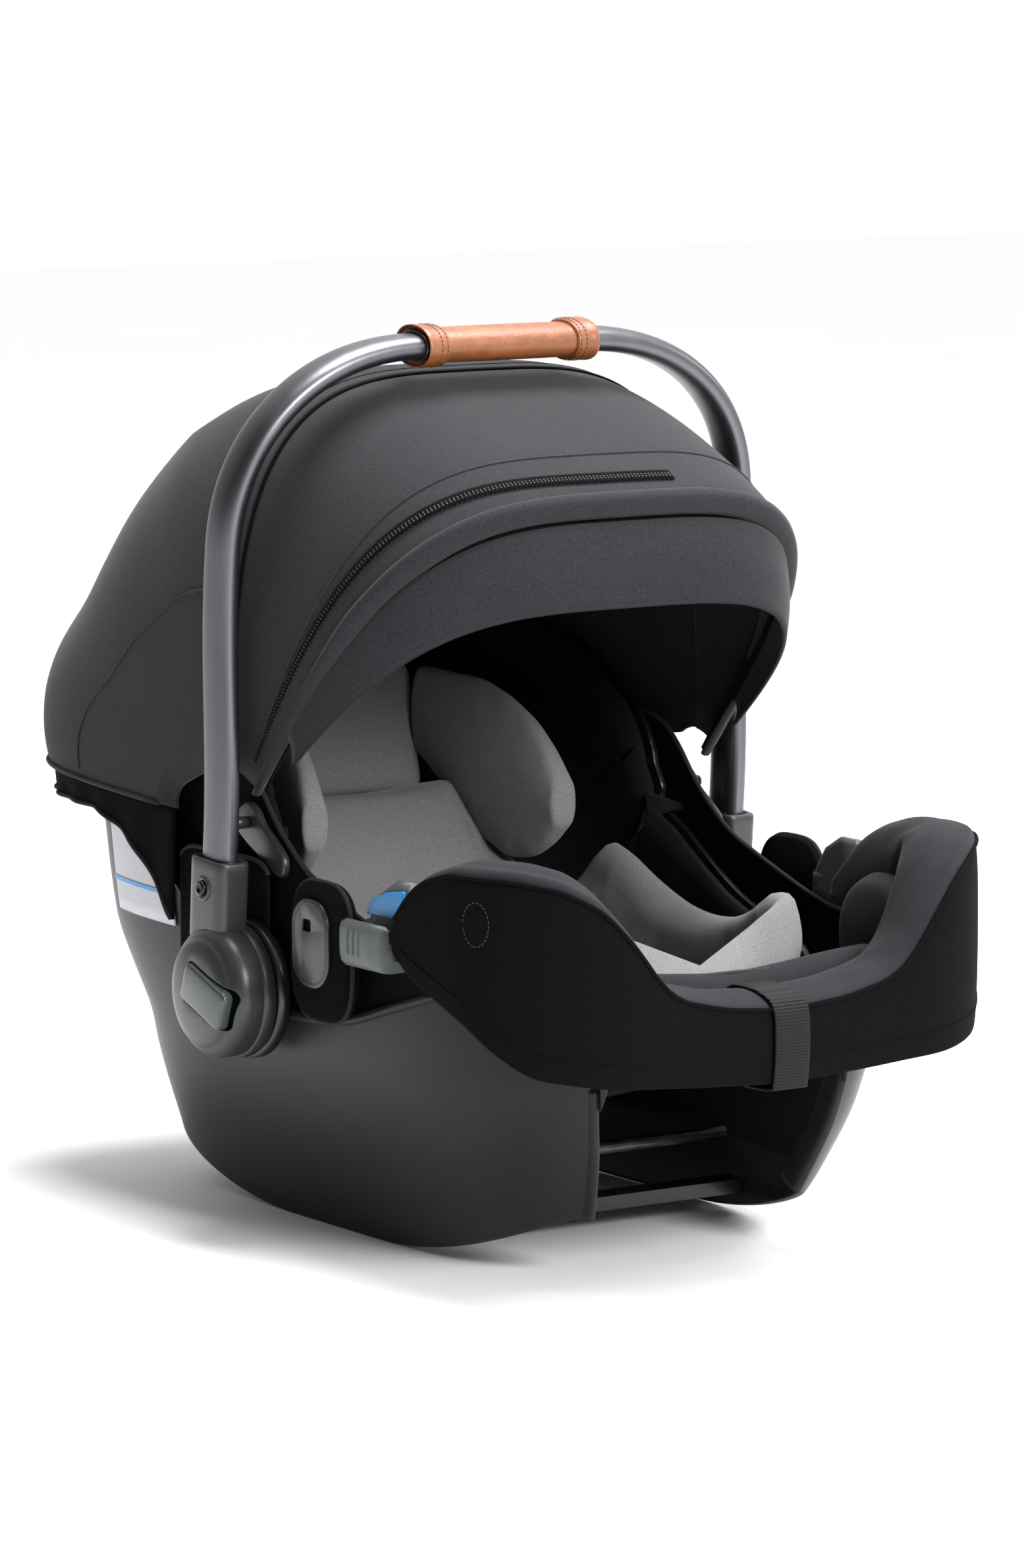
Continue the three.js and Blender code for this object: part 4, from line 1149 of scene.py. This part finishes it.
band = hood_surface("hood_middle_band", 5, lambda i, t: front_hood(lerp(89.4, 91.6, i), t, 1.4))
place(bake(thicken(band, 2.2)), "hood_middle", "hood_cloth")
place(hood_line("hood_middle_seam", 88.9, 0.6, 1.8, TWILL), "hood_middle", "hood_cloth", "hood_middle_bow")
place(hood_line("hood_middle_edge", 91.7, 0.9, 1.8, TWILL), "hood_middle", "hood_cloth")


# ---- front edge of the hood: a rolled hem, a zip behind it and the eyeshade inside ----
def front_roll():
    path = [hood(FRONT_ANGLE, t, 270.5, 174.5) for t in np.linspace(-0.99, 0.99, 140)]
    axis = at(0, 0, HOOD_Z)

    def section(t):
        k = min(1, 4.2 * min(t, 1 - t) + 0.35)
        return oval(13.5 * k, 19 * k, 20, 2.2)

    axis -= Vector((0, 0, 0.001))
    return sweep("hood_front_roll", path, section, HOOD, up=lambda t: path[round(t * 139)] - axis)


roll = place(front_roll(), "hood_front", "hood_cloth", "hood_front_bow")


def visor_point(i, turn):
    t = turn * 0.94
    top = hood(FRONT_ANGLE - 2, t, 265, 173)
    low = hood(38.6, t, 231, 170.5)
    bow = sin(pi * i) * 3.0
    return top.lerp(low, i) + Vector((0, -bow / 1000, bow * 0.4 / 1000))


visor = place(hood_surface("eyeshade", 14, visor_point), "hood_front", "hood_cloth", "hood_visor")
cloth_sheet(visor, 2.2)
for k, i in enumerate((1.0, 0.93)):
    path = [visor_point(i, t) + Vector((0, -0.0006, 0)) for t in np.linspace(-0.985, 0.985, 100)]
    place(cord(f"eyeshade_piping_{k}", path, 2.8 if k == 0 else 1.6, SMOOTH), "hood_front", "hood_cloth")
facing = hood_surface(
    "hood_facing", 5, lambda i, t: hood(
        lerp(FRONT_ANGLE - 2.6, FRONT_ANGLE + 1.5, i), t, 263 - 2 * sin(pi * i), 170.5), LINING)
cloth_sheet(place(facing, "hood_front", "hood_cloth"), 1.6)


def zip_line():
    """A zip in the near side of the hood, just behind its rolled edge."""
    pieces = []
    span = np.linspace(-0.97, 0.05, 90)
    angle = [lerp(57.5, 54.0, k / 89) for k in range(90)]
    tape = surface(
        "zip_tape", 90, 5,
        lambda i, j: front_hood(angle[round(i * 89)] + (j - 0.5) * 2.0, span[round(i * 89)], 0.5), TWILL)
    pieces.append(thicken(tape, 1.0))
    for shift in (-0.22, 0.22):
        row = [front_hood(a + shift, t, 1.0) for a, t in zip(angle, span)]
        pieces.append(stitches("zip_teeth", row, 2.6, 1.5, 1.7, DARK))
    for shift in (-0.95, 0.95):
        row = [front_hood(a + shift, t, 0.9) for a, t in zip(angle, span)]
        pieces.append(stitches("zip_stitches", row, 3.4, 2.4, 0.6, THREAD))
    return joined("hood_zip", *pieces)


fan(zip_line(), FRONT_FAN)
fan(hood_line("hood_front_fold", 60, 0.2, 1.6, HOOD, 0.95), FRONT_FAN)
for side, sign in SIDES:
    path = [rear_hood(a, sign * 0.80, -0.2) for a in np.linspace(92, 176, 70)]
    fan(cord("hood_gusset_" + side, path, 1.9, HOOD), REAR_FAN)
path = [rear_hood(177.8, t, -0.6) for t in np.linspace(-0.97, 0.97, 110)]
place(cord("hood_rear_hem", path, 3.4, HOOD), "shell", "hood_cloth")


# ---- skirt of the cover over the shell ----
SKIRT_BOTTOM = [[58, 178], [74, 190], [94, 210], [114, 228], [140, 242], [176, 252], [400, 254]]


def skirt_point(i, j, out=0.0):
    half = 1 - abs(j * 2 - 1)
    angle = lerp(0.24, 1, half) ** 2.3 * pi / 2
    x = copysign(1, 0.5 - j) * (181.4 + out) * cos(angle) ** (2 / 4.6)
    y = -26 + (343 + out) * sin(angle) ** (2 / 4.6)
    z = lerp(eased(SKIRT_BOTTOM, y, 8), 264 + 14 * sin(angle) ** 2, i)
    ripple = 1.3 * sin(j * 90) * (1 - i)
    x += ripple * copysign(cos(angle), x)
    return at(x, y - (1 - i) * 10 * sin(angle) ** 2 + ripple * sin(angle), z)


skirt = cover(surface("shell_skirt", 12, 141, skirt_point, TWILL), "rim_skirt")
cloth_sheet(skirt, 2.4)
skirt_hem = [skirt_point(0, j, 0.4) for j in np.linspace(0.001, 0.999, 200)]
piping("skirt_piping", skirt_hem, 3.0, SMOOTH)


def side_label():
    """The blank information panel on the near side, with its blue line."""
    def patch(name, low, high, out, finish):
        def point(i, j):
            z = lerp(low, high, i)
            return at(*shell_xy(z, lerp(0.474, 0.414, j), -out), z)

        return thicken(surface(name, 10, 24, point, finish), 1.0)

    return joined("info_panel", patch("panel", 184, 252, 0.8, LABEL), patch("line", 203, 206, 1.2, BLUE))


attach(side_label(), "shell")


# ---- side cover: the dark cloth between the bucket's rim and the hood's pivot ----
SIDE_RIM = [
    [-206, 200], [-176, 200], [-140, 209], [-100, 222], [-60, 236], [-24, 262], [0, 291], [20, 304],
    [60, 308], [104, 306]]
SIDE_FLOOR = [[-206, 178], [-176, 170], [-140, 154], [-110, 144], [104, 144]]


def side_panel(name, sign, x, first, last, highest, bulge):
    def point(i, j):
        y = lerp(first, last, j)
        drop = 8 * (2 * j - 1) ** 8 if highest < 300 else 0
        z = lerp(eased(SIDE_FLOOR, y, 10), min(eased(SIDE_RIM, y, 10), highest - drop), i)
        return at(sign * (x + bulge * sin(pi * i) * sin(pi * j)), y, z)

    made = cover(surface(name, 16, 40, point, TWILL))
    cloth_sheet(made, 2.2, offset=0)
    piping(name + "_piping", [point(1, j) for j in np.linspace(0, 1, 60)], 3.2, SMOOTH)


for side, sign in SIDES:
    side_panel("side_cover_" + side, sign, 163.6, -206, 104, 400, 0)
    side_panel("pivot_cover_" + side, sign, 173.6, -30, 76, 240, 1.5)


# ---- side fittings ----
def belt_guide(side, sign):
    outline = [
        (167, 192), (190, 192), (195, 196), (196, 206), (195.5, 218), (192.5, 221.5), (188.6, 219),
        (188, 206),
        (186, 200), (178, 199), (175.4, 202), (175, 222), (175, 240), (172.6, 246), (169, 246), (167.2, 242)]
    loop = catmull([*outline, outline[0]], 49)[:-1]
    rings = []
    for y, k in ((-145.5, 0.86), (-146.6, 0.95), (-149, 1), (-160, 1), (-176, 1), (-192, 1)):
        slope = 1 if y < -166 else 0.45 + 0.55 * max(0, (-146 - y) / 20)
        ring = []
        for x, z in loop:
            z = 193 + (z - 193) * (slope if x < 178 and z > 222 else 1)
            ring.append(at(sign * (180 + (x - 180) * k), y, 208 + (z - 208) * k))
        rings.append(ring)
    place(ring_mesh("belt_hook_" + side, rings, GREEN), "shell", "guide_plastic", "belt_guide_" + side)
    ribs = [
        prism("rib", rounded(2.4, 16, 1.1, y, 208), sign * 195.4, sign * 196.6, GREEN, 0.4)
        for y in (-156, -162, -168)]
    place(joined("belt_hook_ribs_" + side, *ribs), "shell", "guide_plastic")
    outline = [(-192, 223), (-150, 223), (-156, 233), (-172, 239), (-192, 242)]
    marker = prism("blue_marker_" + side, outline, sign * 175.2, sign * 178.2, BLUE, 1.2)
    place(marker, "shell", "blue_inset", "belt_guide_inset_" + side)


def cover_flap(side, sign):
    rings = []
    for x, k in ((176.6, 0.97), (178, 1), (182, 1), (184.4, 0.985), (185.6, 0.93), (186, 0.8)):
        rings.append([at(sign * x, -107 + y, 194 + z) for y, z in oval(68 * k, 88 * k, 56, 2 / 0.62)])
    cover(ring_mesh("flap_pad_" + side, rings, TWILL), "cover_flap_" + side, fill=0.5)
    piping("flap_piping_" + side, rings[2], 3.0, SMOOTH, closed=True)
    tab = prism("tab_plate_" + side, rounded(42, 56, 18, -102, 199), sign * 185.4, sign * 188.8, DARK, 0)
    slot = prism("slot", rounded(9, 7, 1.5, -98, 210), sign * 180, sign * 195, DARK, 0)
    soften(cut(tab, slot), 0.9, 3, 35)
    edge = [at(sign * 188.6, y, z) for y, z in rounded(37, 51, 16, -102, 199)]
    rim = cord("tab_rim", edge, 1.6, DARK, closed=True)
    place(joined("tab_cover_" + side, tab, rim), "shell", "trim_plastic", "cover_tab_" + side)


def hood_bracket(side, sign):
    outline = catmull([
        (8, 272), (0, 275), (-10, 271), (-18, 262), (-30, 254), (-42, 245), (-44, 236), (-38, 231),
        (-26, 235), (-12, 242),
        (2, 249), (12, 256), (12, 266), (8, 272)], 50)[:-1]
    plate = prism("bracket_plate", [tuple(p) for p in outline], sign * 165.6, sign * 171.2, TRIM, 1.6)
    profile = (4, 170), (4, 181), (3.2, 181.8), (0.5, 182)
    pin = lathe("bracket_pin", profile, (0, HOOD_Z), TRIM, 28, sign)
    place(joined("bracket_" + side, plate, pin), "shell", "guide_plastic", "hood_bracket_" + side)


for side, sign in SIDES:
    belt_guide(side, sign)
    cover_flap(side, sign)
    hood_bracket(side, sign)

outline = (255, 180), (276, 180), (276.6, 200), (276, 218), (265.5, 218), (258, 205)
housing = prism("release_housing", outline, -53, 53, DARK, 0)
recess = prism("recess", [(269, 187.5), (280, 187.5), (280, 216), (269, 216)], -44.4, 44.4, DARK, 0)
place(soften(cut(housing, recess), 1.4, 3, 35), "shell", "dark_plastic", "lever_housing")
outline = (269.6, 188.2), (279, 188), (280.2, 192), (279.6, 200), (276, 204), (269.6, 204)
lever = prism("release_paddle", outline, -43.6, 43.6, GREEN, 1.6)
place(lever, "base_release_lever", "guide_plastic", "base_release_lever")

for name, finish in (
        ("front_cross_rail", DARK), ("rear_cross_rail", DARK), ("front_latch_bar", STEEL),
        ("rear_latch_bar", STEEL),
        ("splitter_plate", STEEL), ("harness_buckle", TRIM), ("chest_clip", TRIM), ("buckle_button", RED),
        ("pivot_shaft_right", STEEL), ("pivot_shaft_left", STEEL)):
    nodes[name].data.materials.clear()
    nodes[name].data.materials.append(finish)
